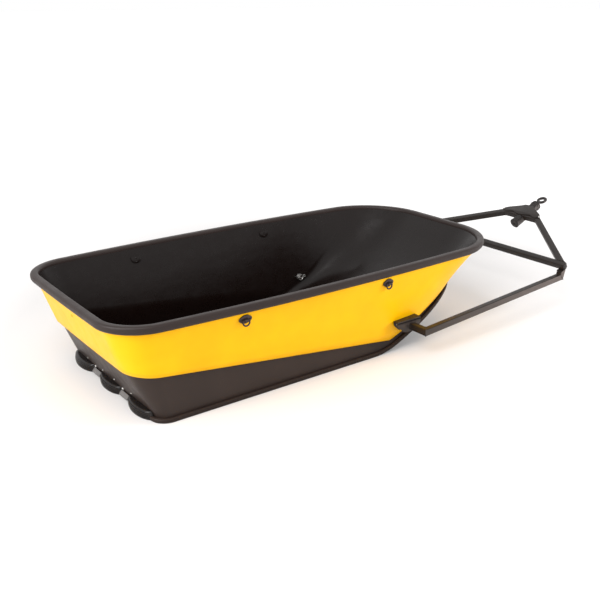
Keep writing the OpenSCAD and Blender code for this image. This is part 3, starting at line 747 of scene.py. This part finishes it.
class SLED_OT_skin(bpy.types.Operator):
    """Build the yellow outer skin with its rounded lower edge"""

    bl_idname = "sled.skin"
    bl_label = "Yellow skin"

    def execute(self, context):
        inside = grow(RIM, GAP - ROLL_R * math.cos(math.pi / 4))
        low, top = skin_rings()
        round_r = 0.008
        rings = [on_edge(grow(LINE, SKIN_STEP - round_r * (1 - math.cos(a))), round_r * (1 - math.sin(a)))
                 for a in np.linspace(np.pi / 2, np.pi / 12, 6)]
        share = (round_r / (top[:, 2] - low[:, 2]))[:, None]
        rings += [between(between(low, top, share), top, s) for s in np.linspace(0, 1, 12)]
        rings += [ring(inside, RIM_Z - ROLL_R - GAP), on_edge(grow(LINE, -PAN_T), 0)]
        points, faces = lofted(rings, loop=True)
        new_piece("tub_skin", points, faces, "sled", finish_of("yellow"), "yellow_plastic", ["skin"])
        down = unit(low[0] - top[0])
        out = np.array([down[2], 0, -down[0]])
        plug = between(low[0], top[0], 0.73)
        parts = [dome(plug, out, 0.0070, 0.0024), dome(plug + down * 0.001, out, 0.0030, 0.0038, 12)]
        new_piece("stern_plug", *joined(*parts), "sled", finish_of("plug"), "yellow_plastic")
        return {"FINISHED"}


class SLED_OT_pan(bpy.types.Operator):
    """Build the black skid pan: its ribbed lip, runner ends, channels with pale grey plates painted in as their lit far
    walls, and their bolts
    """

    bl_idname = "sled.pan"
    bl_label = "Skid pan"

    def lip_rings(self):
        """Rings across the lip from under it to its top, with ribs; between the runner ends
        the lip is squeezed up into its top part to leave the channels open."""
        lip = [(0.001, 0.0), (LIP_W - 0.004, 0.0), (LIP_W - 0.0012, 0.0012), (LIP_W, 0.0036)]
        for z in (0.0056, 0.0090, 0.0124):
            lip += [(LIP_W, z - 0.0012), (LIP_W - 0.0018, z), (LIP_W, z + 0.0012)]
        lip += [(LIP_W - 0.0008, LIP_H - 0.0008), (LIP_W - 0.003, LIP_H), (0.006, LIP_H),
                (0.0048, LIP_H - 0.001), (0.0042, LIP_H - 0.007), (0.0, LIP_H - 0.007)]
        rings = []
        for out, up in lip:
            rows = on_floor(grow(FOOT, out), up)
            middle = np.abs(np.abs(rows[:, 1]) - (RUNNER_W + CHANNEL_W) / 2)
            inside = (middle < CHANNEL_W / 2) & (rows[:, 0] < FOOT.stern - ORIGIN_X + 0.0005)
            rows[inside, 2] = CHANNEL_H + up * (1 - CHANNEL_H / LIP_H)
            rings.append(rows)
        return rings

    def runner(self, y):
        """A runner end: half ovals across the stern whose reach falls as a quarter ellipse up
        to the pan's wall, with fine ribs round them."""
        rise = np.linspace(0, 1, 45)
        z = 0.0008 + rise * (0.034 - 0.0008)
        full = LIP_W + RUNNER_OUT
        reach = 0.012 + (full - 0.012) * np.sqrt(np.maximum(1 - np.clip((rise - 0.12) / 0.88, 0, 1) ** 2, 0))
        reach -= 0.0022 * (np.sin(rise * 2 * np.pi * 5.5) > 0.1) * (rise < 0.85)
        width = RUNNER_W / 2 * (0.88 + 0.12 * reach / full)
        turn = np.linspace(-np.pi / 2, np.pi / 2, 41)
        points = np.stack([
            FOOT.stern - ORIGIN_X + 0.003 * (1 - rise)[:, None] - 0.006 * rise[:, None] - reach[:, None] * np.cos(turn),
            y + width[:, None] * np.sin(turn),
            np.repeat(z[:, None], len(turn), 1)], -1)
        count = len(turn)
        faces = skin_faces(count, len(z))
        last = count * (len(z) - 1)
        faces += [list(range(count - 1, -1, -1)), list(range(last, last + count))]
        return points.reshape(-1, 3), [face[::-1] for face in faces]

    def execute(self, context):
        rings = [on_floor(grow(FOOT, 0), 0)] + self.lip_rings()
        low = on_floor(FOOT, LIP_H)
        top = on_edge(LINE, -GAP)
        rings += [between(low, top, s) for s in np.linspace(0, 1, 12)]
        rings += [on_edge(grow(LINE, -PAN_T), -GAP), on_floor(grow(FOOT, -PAN_T), LIP_H),
                  on_floor(grow(FOOT, -PAN_T), PAN_T)]
        points, faces = lofted(rings)
        new_piece("pan", points, faces, "sled", finish_of("pan"), "black_plastic", ["skid_pan"], 32)
        ends = joined(*[self.runner(k * (RUNNER_W + CHANNEL_W)) for k in (-1, 0, 1)])
        new_piece("runner_ends", *ends, "sled", finish_of("runner"), "black_plastic", (), 40)

        wall = unit([LINE.stern - FOOT.stern, 0, LINE_Z - LIP_H])
        out = np.array([-wall[2], 0, wall[0]])
        channel, bolts = [], []
        for side, _ in SIDES:
            y = side * (RUNNER_W + CHANNEL_W) / 2
            foot = np.array([FOOT.stern - ORIGIN_X, y, LIP_H])
            low = np.array([FOOT.stern - LIP_W - 0.0035 - ORIGIN_X, y, CHANNEL_H - 0.004])
            rise = unit(foot + wall * 0.014 - low)
            face = np.array([-rise[2], 0, rise[0]])
            # The channel plates are painted light: pale grey sheets where the channels' far walls catch the floor's
            # light
            shape = softened([(-0.033, 0.001), (0.033, 0.001), (0.031, 0.021), (-0.031, 0.021)], 0.005)
            channel.append(plate(shape, low - face * 0.0015, np.array([0, -1, 0]), rise, 0.003))
            bolts.append(dome(foot + wall * 0.016 + (0, 0.022, 0), out, 0.0060, 0.0036))
            for shift in (-0.070, 0.070):
                bolts.append(dome(foot + wall * 0.040 + (0, shift, 0), out, 0.0026, 0.0016, 12))
        new_piece("channel_plates", *joined(*channel), "sled", finish_of("lit_channel_grey"), "black_plastic", (), 40)
        new_piece("pan_bolts", *joined(*bolts), "sled", finish_of("zinc"), "plated_steel", (), 40)
        return {"FINISHED"}


class SLED_OT_brackets(bpy.types.Operator):
    """Build the bent brackets that carry the drawbar, with their rivets"""

    bl_idname = "sled.brackets"
    bl_label = "Pivot brackets"

    def outline(self):
        """The side view of a bracket about the pivot: square on top, cut back below."""
        back, front = BRACKET_BACK, BRACKET_BACK + BRACKET_L
        return softened([(back, BRACKET_TOP), (back, BRACKET_TOP - 0.014), (back + 0.014, BRACKET_LOW + 0.024),
                         (back + 0.044, BRACKET_LOW), (front - 0.026, BRACKET_LOW),
                         (front - 0.008, BRACKET_LOW + 0.016), (front, BRACKET_LOW + 0.034),
                         (front, BRACKET_TOP)], 0.009)

    def shelf(self):
        """The top plate: a strip from the skin out to the cheek, a quarter circle over the bend
        and down; its inner edge keeps to the wall, whose place falls with x."""
        x = PIVOT[0] - ORIGIN_X + np.linspace(BRACKET_BACK + 0.001, BRACKET_BACK + BRACKET_L - 0.001, 12)
        slope = math.tan(math.radians(-5.94))
        inner = SKIN_PIVOT_Y + (BRACKET_TOP - BRACKET_T) * math.tan(math.radians(12.4)) - 0.001
        start = inner + slope * (x - x.mean()) + 0.0035
        bend = 0.006
        turn = np.linspace(np.pi / 2, 0, 7)
        out_y = np.concatenate([[0, 0.5], (CHEEK_Y - bend - start.mean() + bend * np.cos(turn)) / (CHEEK_Y - start.mean()), [1]])
        drop = np.concatenate([[0, 0], bend * (1 - np.sin(turn)), [0.010]])
        top_z = PIVOT[1] + BRACKET_TOP
        y = start[:, None] + (CHEEK_Y - start)[:, None] * out_y
        z = np.repeat((top_z - drop)[None], len(x), 0)
        along = np.repeat(x[:, None], len(drop), 1)
        outer = np.stack([along, y, z], -1)
        tilt = np.concatenate([[0, 0], np.pi / 2 - turn, [np.pi / 2]])
        under = outer - BRACKET_T * np.stack([tilt * 0, np.sin(tilt), np.cos(tilt)], -1)
        loop = np.concatenate([outer, under[:, ::-1]], 1)
        count = loop.shape[1]
        faces = skin_faces(count, len(x))
        last = count * (len(x) - 1)
        faces += [list(range(count - 1, -1, -1)), list(range(last, last + count))]
        return loop.reshape(-1, 3), [face[::-1] for face in faces]

    def execute(self, context):
        low, top = skin_rings()
        place, along, out, up = wall_axes(low, top, *PIVOT)
        shape = self.outline()
        ahead, high, outward = np.array([1.0, 0, 0]), np.array([0, 0, 1.0]), np.array([0, 1.0, 0])
        pivot = np.array([PIVOT[0] - ORIGIN_X, 0, PIVOT[1]])
        for side, word in SIDES:
            # plate() builds along right x up, which points to the sled's middle here
            base = plate(shape, place + out * BRACKET_T, along, up, BRACKET_T - 3 * GAP)
            cheek = plate(shape, pivot + outward * CHEEK_Y, ahead, high, BRACKET_T)
            collar = turned_loop([(0.0125, 0), (0.0165, 0), (0.0165, 0.0025), (0.0152, 0.004), (0.0125, 0.004)],
                                 pivot + outward * (CHEEK_Y - 0.0005), outward, 40)
            rivets = [dome(place + out * BRACKET_T + along * x + up * z, out, 0.0055, 0.0030)
                      for x, z in ((-0.060, 0.014), (0.030, 0.020), (-0.020, -0.012))]
            solid = on_side(side, joined(base, cheek, self.shelf(), collar))
            new_piece("pivot_bracket_" + word, *solid, "sled", finish_of("coat"), "coated_steel",
                      ["bracket_" + word], 35)
            new_piece("bracket_rivets_" + word, *on_side(side, joined(*rivets)), "sled", finish_of("zinc"),
                      "plated_steel")
        return {"FINISHED"}


class SLED_OT_pivots(bpy.types.Operator):
    """Build the pivot bolts with their heads, washers and split pins, and the bushes that turn on them"""

    bl_idname = "sled.pivots"
    bl_label = "Pivot bolts"

    def execute(self, context):
        outward = np.array([0, 1.0, 0])
        pivot = np.array([PIVOT[0] - ORIGIN_X, 0, PIVOT[1]])
        head_y = LINER_PIVOT_Y - 0.012
        for side, word in SIDES:
            head = hex_head(pivot + outward * head_y, -outward, 0.0238, 0.0050)
            cup = turned_loop([(0.0098, 0), (0.0134, 0), (0.0138, 0.0008), (0.0138, 0.0092), (0.0132, 0.0098),
                               (0.0112, 0.0098), (0.0106, 0.0092), (0.0098, 0.0046)],
                              pivot + outward * (head_y - 0.0002), -outward, 48)
            shank = turned([(0.0079, 0), (0.0079, 0.112), (0.0071, 0.1128), (0.0003, 0.1128)],
                           pivot + outward * head_y, outward, 32)
            turn = np.linspace(0, 2 * np.pi, 25)[:-1]
            at = pivot + outward * (head_y - 0.0080)
            eye = at + np.stack([0.0205 + 0.0052 * np.cos(turn), 0 * turn, 0.0040 + 0.0052 * np.sin(turn)], 1)
            legs = [at + np.array(c) for c in (
                (0.0158, 0, 0.003), (0.008, 0, 0.0), (-0.010, 0, 0), (-0.0165, 0.0005, 0.0014), (-0.0190, 0.001, 0.0062))]
            pin = joined(wire(eye, 0.0013, 10, closed=True), wire(stroke(legs), 0.0014, 8))
            new_piece("pivot_pin_" + word, *on_side(side, joined(head, shank)), "sled", finish_of("fitting"),
                      "plated_steel", ["pivot_bolt_" + word], 35)
            new_piece("pivot_cup_" + word, *on_side(side, cup), "sled", finish_of("zinc"), "plated_steel")
            new_piece("split_pin_" + word, *on_side(side, pin), "sled", finish_of("zinc"), "plated_steel")
            thick = 0.0026
            washer = turned_loop([(0.0082, 0), (0.0138, 0), (0.0148, 0.0006), (0.0148, thick - 0.0006),
                                  (0.0138, thick), (0.0082, thick)], pivot + outward * (head_y + 0.0003), outward, 48)
            wedge = turned_loop([(0.0083, 0), (0.0118, 0), (0.0122, 0.0076), (0.0083, 0.0076)],
                                pivot + outward * (head_y + 0.0003 + thick), outward, 40)
            new_piece("washer_stack_" + word, *on_side(side, joined(washer, wedge)), "sled", finish_of("zinc"),
                      "plated_steel", ["pivot_washer_" + word], 35)
            bush = turned_loop([(0.0081, 0), (0.0106, 0), (0.0112, 0.0008), (0.0112, 0.0670), (0.0106, 0.0678),
                                (0.0081, 0.0678)], pivot + outward * (SKIN_PIVOT_Y + 0.014), outward, 40)
            new_piece("pivot_bush_" + word, *on_side(side, bush), "drawbar", finish_of("bare"), "coated_steel",
                      ["pivot_sleeve_" + word], 35)
        return {"FINISHED"}


class SLED_OT_drawbar(bpy.types.Operator):
    """Build the square tubes of the drawbar, their end caps and weld beads"""

    bl_idname = "sled.drawbar"
    bl_label = "Drawbar"

    def execute(self, context):
        coat = finish_of("coat")
        profile = rounded_square(TUBE_W, 0.004)
        half = TUBE_W / 2
        corner = np.array([CROSS_X - ORIGIN_X, CROSS_Y, CROSS_Z])
        end = np.array([CROSS_X - RISER_RUN - ORIGIN_X, CROSS_Y, ARM_END_Z])
        elbow = np.array([PIVOT[0] - ORIGIN_X, ELBOW_Y, PIVOT[1]])
        path = [elbow - (0, ELBOW_Y - CHEEK_Y - GAP, 0), elbow, end, corner]
        points, faces = swept(path, profile, (0, 0, 1))
        count = len(profile)
        rows = points.reshape(4, count, 3)
        caps = [list(range(count - 1, -1, -1)), list(range(2 * count, 3 * count))]
        arm = (rows[:3].reshape(-1, 3), skin_faces(count, 3) + caps)
        rise = unit(corner - end)
        cut = corner - FRAME_OUT * half
        reach = ((cut - rows[2]) @ FRAME_OUT / (rise @ FRAME_OUT))[:, None]
        top_row = rows[2] + rise * reach
        riser = (np.concatenate([rows[2] + rise * 2 * GAP, top_row]),
                 skin_faces(count, 2) + [list(range(count - 1, -1, -1)), list(range(count, 2 * count))])
        bend, tip = frame_point(BEND_L, BEND_Y, 0), frame_point(0, CROSS_Y, 0)
        front = swept([frame_point(BEND_L, 0.016, 0), bend, tip], profile, FRAME_OUT)
        front_rows = front[0].reshape(3, count, 3)
        ahead = unit(tip - bend)
        stop = frame_point(half, 0, 0)
        front_rows[2] = front_rows[1] + ahead * ((stop - front_rows[1]) @ FRAME_AHEAD / (ahead @ FRAME_AHEAD))[:, None]
        front = (front_rows.reshape(-1, 3), front[1])
        loop = list(range(count)) + [0]
        beads = joined(*[weld(row[loop]) for row in (rows[1], rows[2], top_row, front_rows[1], front_rows[2])])
        beads = (np.minimum(beads[0], (9, ELBOW_Y + half - 0.0002, 9)), beads[1])
        for side, word in SIDES:
            for name, solid, old in (("arm_tube_", arm, "arm_"), ("riser_tube_", riser, "riser_"),
                                     ("front_bar_", front, "front_tube_")):
                new_piece(name + word, *on_side(side, solid), "drawbar", coat, "coated_steel", [old + word], 30)
            new_piece("drawbar_welds_" + word, *on_side(side, beads), "drawbar", finish_of("bead"),
                      "coated_steel")
            cap = plate(rounded_square(TUBE_W - 0.001, 0.004), frame_point(0, CROSS_Y + half - 0.0035, 0),
                        -FRAME_AHEAD, FRAME_OUT, 0.0035, 0.0012)
            new_piece("end_cap_" + word, *on_side(side, cap), "drawbar", finish_of("black"), "black_plastic")
        end_y = CROSS_Y + half - 0.0035
        bar = swept([frame_point(0, -end_y, 0), frame_point(0, end_y, 0)], profile, FRAME_OUT)
        new_piece("cross_tube", *bar, "drawbar", coat, "coated_steel", ["cross_bar"], 30)
        return {"FINISHED"}


class SLED_OT_hitch(bpy.types.Operator):
    """Build the gusset plate, the hitch tube with its cap and collar, and the tow ring"""

    bl_idname = "sled.hitch"
    bl_label = "Hitch"

    def execute(self, context):
        coat = finish_of("coat")
        radius = HITCH_D / 2
        start = frame_point(0, 0, HITCH_N)
        edge = [(0.072, 0.026), (0.062, 0.034), (0.020, 0.106), (0.000, 0.112), (-0.013, 0.094),
                (0.002, 0.052), (-0.010, 0.018)]
        outline = [(x, y) for x, y in edge] + [(x, -y) for x, y in edge[::-1]]
        shape = softened(outline, 0.010)
        cover = plate(shape, frame_point(BEND_L, 0, TUBE_W / 2 + 0.0001), FRAME_AHEAD, np.array([0, 1.0, 0]), 0.004)
        new_piece("gusset_plate", *cover, "drawbar", coat, "coated_steel", ["gusset"], 35)
        tips = [weld([frame_point(BEND_L + 0.014, s * 0.110, TUBE_W / 2 + 0.004),
                      frame_point(BEND_L - 0.002, s * 0.114, TUBE_W / 2 + 0.004)], 0.0034) for s in (-1, 1)]
        new_piece("gusset_tips", *joined(*tips), "drawbar", finish_of("bare"), "coated_steel")

        ribs = [(radius - 0.003, HITCH_BACK), (radius, HITCH_BACK + 0.0005)]
        for z in np.arange(HITCH_BACK + 0.009, HITCH_FRONT - 0.006, 0.0065):
            if BEND_L - 0.020 < z < BEND_L + 0.058:
                continue
            ribs += [(radius, z - 0.0018), (radius - 0.0011, z - 0.0009), (radius - 0.0011, z + 0.0009), (radius, z + 0.0018)]
        ribs += [(radius, HITCH_FRONT - 0.0005), (radius - 0.003, HITCH_FRONT)]
        barrel = turned_loop(ribs, start, FRAME_AHEAD, 48)
        new_piece("hitch_barrel", *barrel, "drawbar", finish_of("cast"), "coated_steel", ["hitch_tube"], 30)
        cap = turned_loop([(0.0045, 0.0004), (0.0062, 0), (radius - 0.001, 0), (radius + 0.0015, 0.0016),
                           (radius + 0.0015, 0.0042), (radius + 0.0008, 0.005), (0.0045, 0.005)],
                          start + FRAME_AHEAD * (HITCH_BACK - 0.005), FRAME_AHEAD, 48)
        new_piece("hitch_end_cap", *cap, "drawbar", finish_of("cast"), "coated_steel", ["hitch_cap"], 30)

        steps, z = [], 0.0
        inner = 0.00905
        for r, t in ((radius + 0.0025, 0.006), (radius - 0.001, 0.005), (radius + 0.001, 0.006), (radius - 0.006, 0.005)):
            steps += [(r - 0.0009, z), (r, z + 0.0009), (r, z + t - 0.0009), (r - 0.0009, z + t)]
            z += t
        collar = turned_loop([(inner, 0)] + steps + [(inner, z)], start + FRAME_AHEAD * HITCH_FRONT, FRAME_AHEAD, 48)
        new_piece("hitch_front_collar", *collar, "drawbar", finish_of("cast"), "coated_steel", ["hitch_collar"], 30)
        around = np.linspace(0, 2 * np.pi, 40)
        bead = [start + FRAME_AHEAD * HITCH_FRONT + (radius + 0.0003) * (np.cos(a) * FRAME_OUT + np.sin(a) * np.array([0, 1.0, 0]))
                for a in around]
        sides = [weld([frame_point(BEND_L + x, s * 0.0245, n) for x, n in ((-0.015, 0.012), (0.015, 0.012))])
                 for s in (-1, 1)]
        new_piece("hitch_welds", *joined(weld(bead, 0.0018), *sides), "drawbar", finish_of("bead"), "coated_steel")

        rod_front = EYE_L - EYE_HOLE / 2 - 0.005
        rod = turned([(0.0085, 0.247), (0.009, 0.2475), (0.009, rod_front - 0.0005), (0.0088, rod_front), (0.0003, rod_front)],
                     start, FRAME_AHEAD, 36)
        turn = np.arange(20) * 2 * np.pi / 20
        k = 3.0
        reach = (np.abs(np.cos(turn)) ** k + np.abs(np.sin(turn)) ** k) ** (-1 / k)
        wide, tall = (EYE_D - EYE_HOLE) / 4, EYE_T / 2
        section = np.stack([(EYE_D + EYE_HOLE) / 4 + wide * reach * np.cos(turn), tall * reach * np.sin(turn)], 1)
        eye = turned_loop(section, frame_point(EYE_L, 0, HITCH_N), FRAME_OUT, 72)
        new_piece("tow_ring", *joined(rod, eye), "tow_eye", finish_of("cast"), "coated_steel", ["tow_rod"], 40)
        return {"FINISHED"}


class SLED_OT_lashing(bpy.types.Operator):
    """Build the four lashing points: pads, rings, screws and the plates inside the tub"""

    bl_idname = "sled.lashing"
    bl_label = "Lashing points"

    def execute(self, context):
        skin = skin_rings()
        _, _, _, bend, top = liner_rings()
        quarter = [(1, 0.25), (0.86, 0.45), (0.3, 1)]
        lozenge = [(x * PAD_W / 2, y * PAD_H / 2) for x, y in quarter]
        lozenge += [(-x, y) for x, y in lozenge[::-1]]
        lozenge += [(-x, -y) for x, y in lozenge]
        shield = softened([(-0.024, 0.014), (0.024, 0.014), (0.022, -0.006), (0.008, -0.0165), (-0.008, -0.0165),
                           (-0.022, -0.006)], 0.008)
        barrel_n = PAD_T + WIRE_D / 2 + 0.0025
        for row, x in LASH_X.items():
            place, along, out, up = wall_axes(*skin, x, LASH_Z)
            pad = plate(softened(lozenge, 0.005), place + out * (PAD_T + GAP), along, up, PAD_T, 0.0012)
            centre = place + out * barrel_n
            barrel = turned_loop([(0.0033, 0), (0.0047, 0), (0.0055, 0.0008), (0.0055, 0.0132), (0.0047, 0.014),
                                  (0.0033, 0.014)], centre - along * 0.007, along, 28)
            saddle = plate(softened([(-0.007, -0.0068), (0.007, -0.0068), (0.007, 0.0068), (-0.007, 0.0068)], 0.002),
                           place + out * (barrel_n - 0.0036), along, up, barrel_n - 0.0036 - PAD_T / 2, 0.0008)
            screws = []
            for shift in (-0.0185, 0.0185):
                at = place + out * (PAD_T + GAP) + along * shift
                screws.append(dome(at, out, 0.0034, 0.0019, 16))
            down = np.array([0, 0, -1.0])
            bow = np.cross(along, down)
            turn = np.linspace(0, np.pi, 21)
            bottom = centre + down * LEG_L + RING_R * (np.cos(turn)[:, None] * along + np.sin(turn)[:, None] * down)
            ring_path = np.concatenate([stroke([centre - along * RING_R, centre + along * RING_R], 0.0025),
                                        stroke([centre + along * RING_R, centre + along * RING_R + down * LEG_L], 0.003)[1:-1],
                                        bottom,
                                        stroke([centre - along * RING_R + down * LEG_L, centre - along * RING_R], 0.003)[1:-1]])
            loop = wire(ring_path, WIRE_D / 2, 14, closed=True)
            inner, along_in, out_in, up_in = wall_axes(bend, top, x, LASH_Z)
            back = plate(shield, inner - out_in * 2 * GAP, along_in, up_in, 0.003, 0.001)
            studs = [dome(inner - out_in * 0.0034 + up_in * z, -out_in, 0.0040, 0.0022, 16) for z in (0.007, -0.009)]
            for side, word in SIDES:
                tag = row + "_" + word
                new_piece("lashing_pad_" + tag, *on_side(side, joined(pad, barrel, saddle)), "sled",
                          finish_of("fitting"), "black_plastic", ["lash_pad_" + tag], 35)
                new_piece("pad_screws_" + tag, *on_side(side, joined(*screws)), "sled", finish_of("coat"), "coated_steel")
                new_piece("lashing_ring_" + tag, *on_side(side, loop), "ring_" + tag, finish_of("fitting"),
                          "coated_steel", ["lash_ring_" + tag])
                new_piece("backing_plate_" + tag, *on_side(side, joined(back, *studs)), "sled",
                          finish_of("black"), "black_plastic", ["lash_plate_" + tag], 35)
        return {"FINISHED"}


class SLED_OT_finishes(bpy.types.Operator):
    """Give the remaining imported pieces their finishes"""

    bl_idname = "sled.finishes"
    bl_label = "Packed pieces"

    def execute(self, context):
        finishes = {"lash_pad": "black", "lash_plate": "black", "pivot_bolt": "zinc", "pivot_washer": "zinc"}
        for name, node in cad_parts.items():
            kind = next((word for word in finishes if name.startswith(word)), None)
            node.data.materials.clear()
            node.data.materials.append(finish_of(finishes.get(kind, "coat")))
        return {"FINISHED"}


class SLED_OT_stage(bpy.types.Operator):
    """Set up the white floor, the lamps and the camera"""

    bl_idname = "sled.stage"
    bl_label = "Studio"

    def execute(self, context):
        studio = context.scene.sled_studio
        size = 60.0
        mesh = bpy.data.meshes.new("studio_floor")
        mesh.from_pydata([(-size, -size, 0), (size, -size, 0), (size, size, 0), (-size, size, 0)], [], [(0, 1, 2, 3)])
        floor = bpy.data.objects.new("studio_floor", mesh)
        context.scene.collection.objects.link(floor)
        material, tree, shader = new_material("white paper")
        shader.inputs["Base Color"].default_value = (0.76, 0.745, 0.74, 1)
        shader.inputs["Roughness"].default_value = 0.9
        shader.inputs["Specular IOR Level"].default_value = 0.1
        path = add_node(tree, "ShaderNodeLightPath")
        place = add_node(tree, "ShaderNodeTexCoord").outputs["Object"]
        away = add_node(tree, "ShaderNodeVectorMath", [(0, place)], operation="LENGTH").outputs["Value"]
        level = ramp(tree, away, 0.07, 1.0, 1.5, 3.6)
        seen = add_node(tree, "ShaderNodeMath", [(0, path.outputs["Is Camera Ray"]), (1, level)],
                        operation="MULTIPLY").outputs[0]
        glow = add_node(tree, "ShaderNodeEmission", [("Strength", seen)], Color=(1, 1, 1, 1))
        both = add_node(tree, "ShaderNodeAddShader", [(0, shader.outputs[0]), (1, glow.outputs[0])])
        tree.links.new(both.outputs[0], tree.nodes["Material Output"].inputs["Surface"])
        mesh.materials.append(material)

        world = bpy.data.worlds.new("studio")
        context.scene.world = world
        world.use_nodes = True
        tree = world.node_tree
        background = tree.nodes["Background"]
        path = add_node(tree, "ShaderNodeLightPath")
        seen = add_node(tree, "ShaderNodeMath", [(0, path.outputs["Is Camera Ray"]),
                                                 (1, path.outputs["Is Glossy Ray"])], operation="MAXIMUM")
        seen = add_node(tree, "ShaderNodeMath", [(0, seen.outputs[0]),
                                                 (1, path.outputs["Is Transmission Ray"])], operation="MAXIMUM")
        level = add_node(tree, "ShaderNodeMapRange", [(0, seen.outputs[0])], **{
            "To Min": studio.sky, "To Max": 1.0})
        tree.links.new(level.outputs[0], background.inputs["Strength"])
        background.inputs["Color"].default_value = (1, 1, 1, 1)

        for name, place, target, width, height, power, shines in (
                ("key lamp", (-3.2, -1.6, 3.6), (0, 0, 0.1), 2.6, 2.6, studio.key, True),
                ("stern lamp", (-4.3, -0.3, 1.7), (-1.2, 0, 0.25), 2.0, 1.6, studio.stern, True),
                ("bow lamp", (2.7, -2.3, 1.3), (0.7, -0.3, 0.2), 1.4, 1.2, studio.bow, False),
                ("fill lamp", (0.6, -4.2, 2.0), (0, 0, 0.2), 2.4, 1.6, studio.fill, False)):
            light = bpy.data.lights.new(name, "AREA")
            light.shape = "RECTANGLE"
            light.size = width
            light.size_y = height
            light.energy = power
            lamp = bpy.data.objects.new(name, light)
            lamp.location = place
            lamp.rotation_euler = (Vector(target) - Vector(place)).to_track_quat("-Z", "Y").to_euler()
            lamp.visible_glossy = shines
            context.scene.collection.objects.link(lamp)

        data = bpy.data.cameras.new("view")
        data.lens = studio.lens
        data.sensor_width = 36.0
        data.clip_end = 400.0
        camera = bpy.data.objects.new("view", data)
        camera.location = (-1.86245 - ORIGIN_X, -2.67628, 1.38311)
        yaw, pitch = math.radians(36.38318), math.radians(20.29004)
        ahead = Vector((math.sin(yaw) * math.cos(pitch), math.cos(yaw) * math.cos(pitch), -math.sin(pitch)))
        camera.rotation_euler = ahead.to_track_quat("-Z", "Y").to_euler()
        context.scene.collection.objects.link(camera)
        context.scene.camera = camera
        context.scene.view_settings.view_transform = "Standard"
        return {"FINISHED"}


class SLED_PT_panel(bpy.types.Panel):
    """Lists the sled's builders"""

    bl_idname = "SLED_PT_panel"
    bl_label = "Snowmobile Sled"
    bl_space_type = "VIEW_3D"
    bl_region_type = "UI"
    bl_category = "Sled"

    def draw(self, context):
        for group in (context.scene.sled_colours, context.scene.sled_studio):
            for name in group.__annotations__:
                self.layout.prop(group, name)
        for operator in OPERATORS:
            self.layout.operator(operator.bl_idname)


OPERATORS = (SLED_OT_finishes, SLED_OT_liner, SLED_OT_rim, SLED_OT_skin, SLED_OT_pan, SLED_OT_brackets,
             SLED_OT_pivots, SLED_OT_drawbar, SLED_OT_hitch, SLED_OT_lashing, SLED_OT_stage)
CLASSES = (SledColours, SledStudio, *OPERATORS, SLED_PT_panel)


def register():
    for each in CLASSES:
        bpy.utils.register_class(each)
    bpy.types.Scene.sled_colours = bpy.props.PointerProperty(type=SledColours)
    bpy.types.Scene.sled_studio = bpy.props.PointerProperty(type=SledStudio)


def unregister():
    del bpy.types.Scene.sled_studio
    del bpy.types.Scene.sled_colours
    for each in reversed(CLASSES):
        bpy.utils.unregister_class(each)


def main():
    register()
    for operator in OPERATORS:
        group, name = operator.bl_idname.split(".")
        getattr(getattr(bpy.ops, group), name)()


if __name__ == "__main__":
    main()
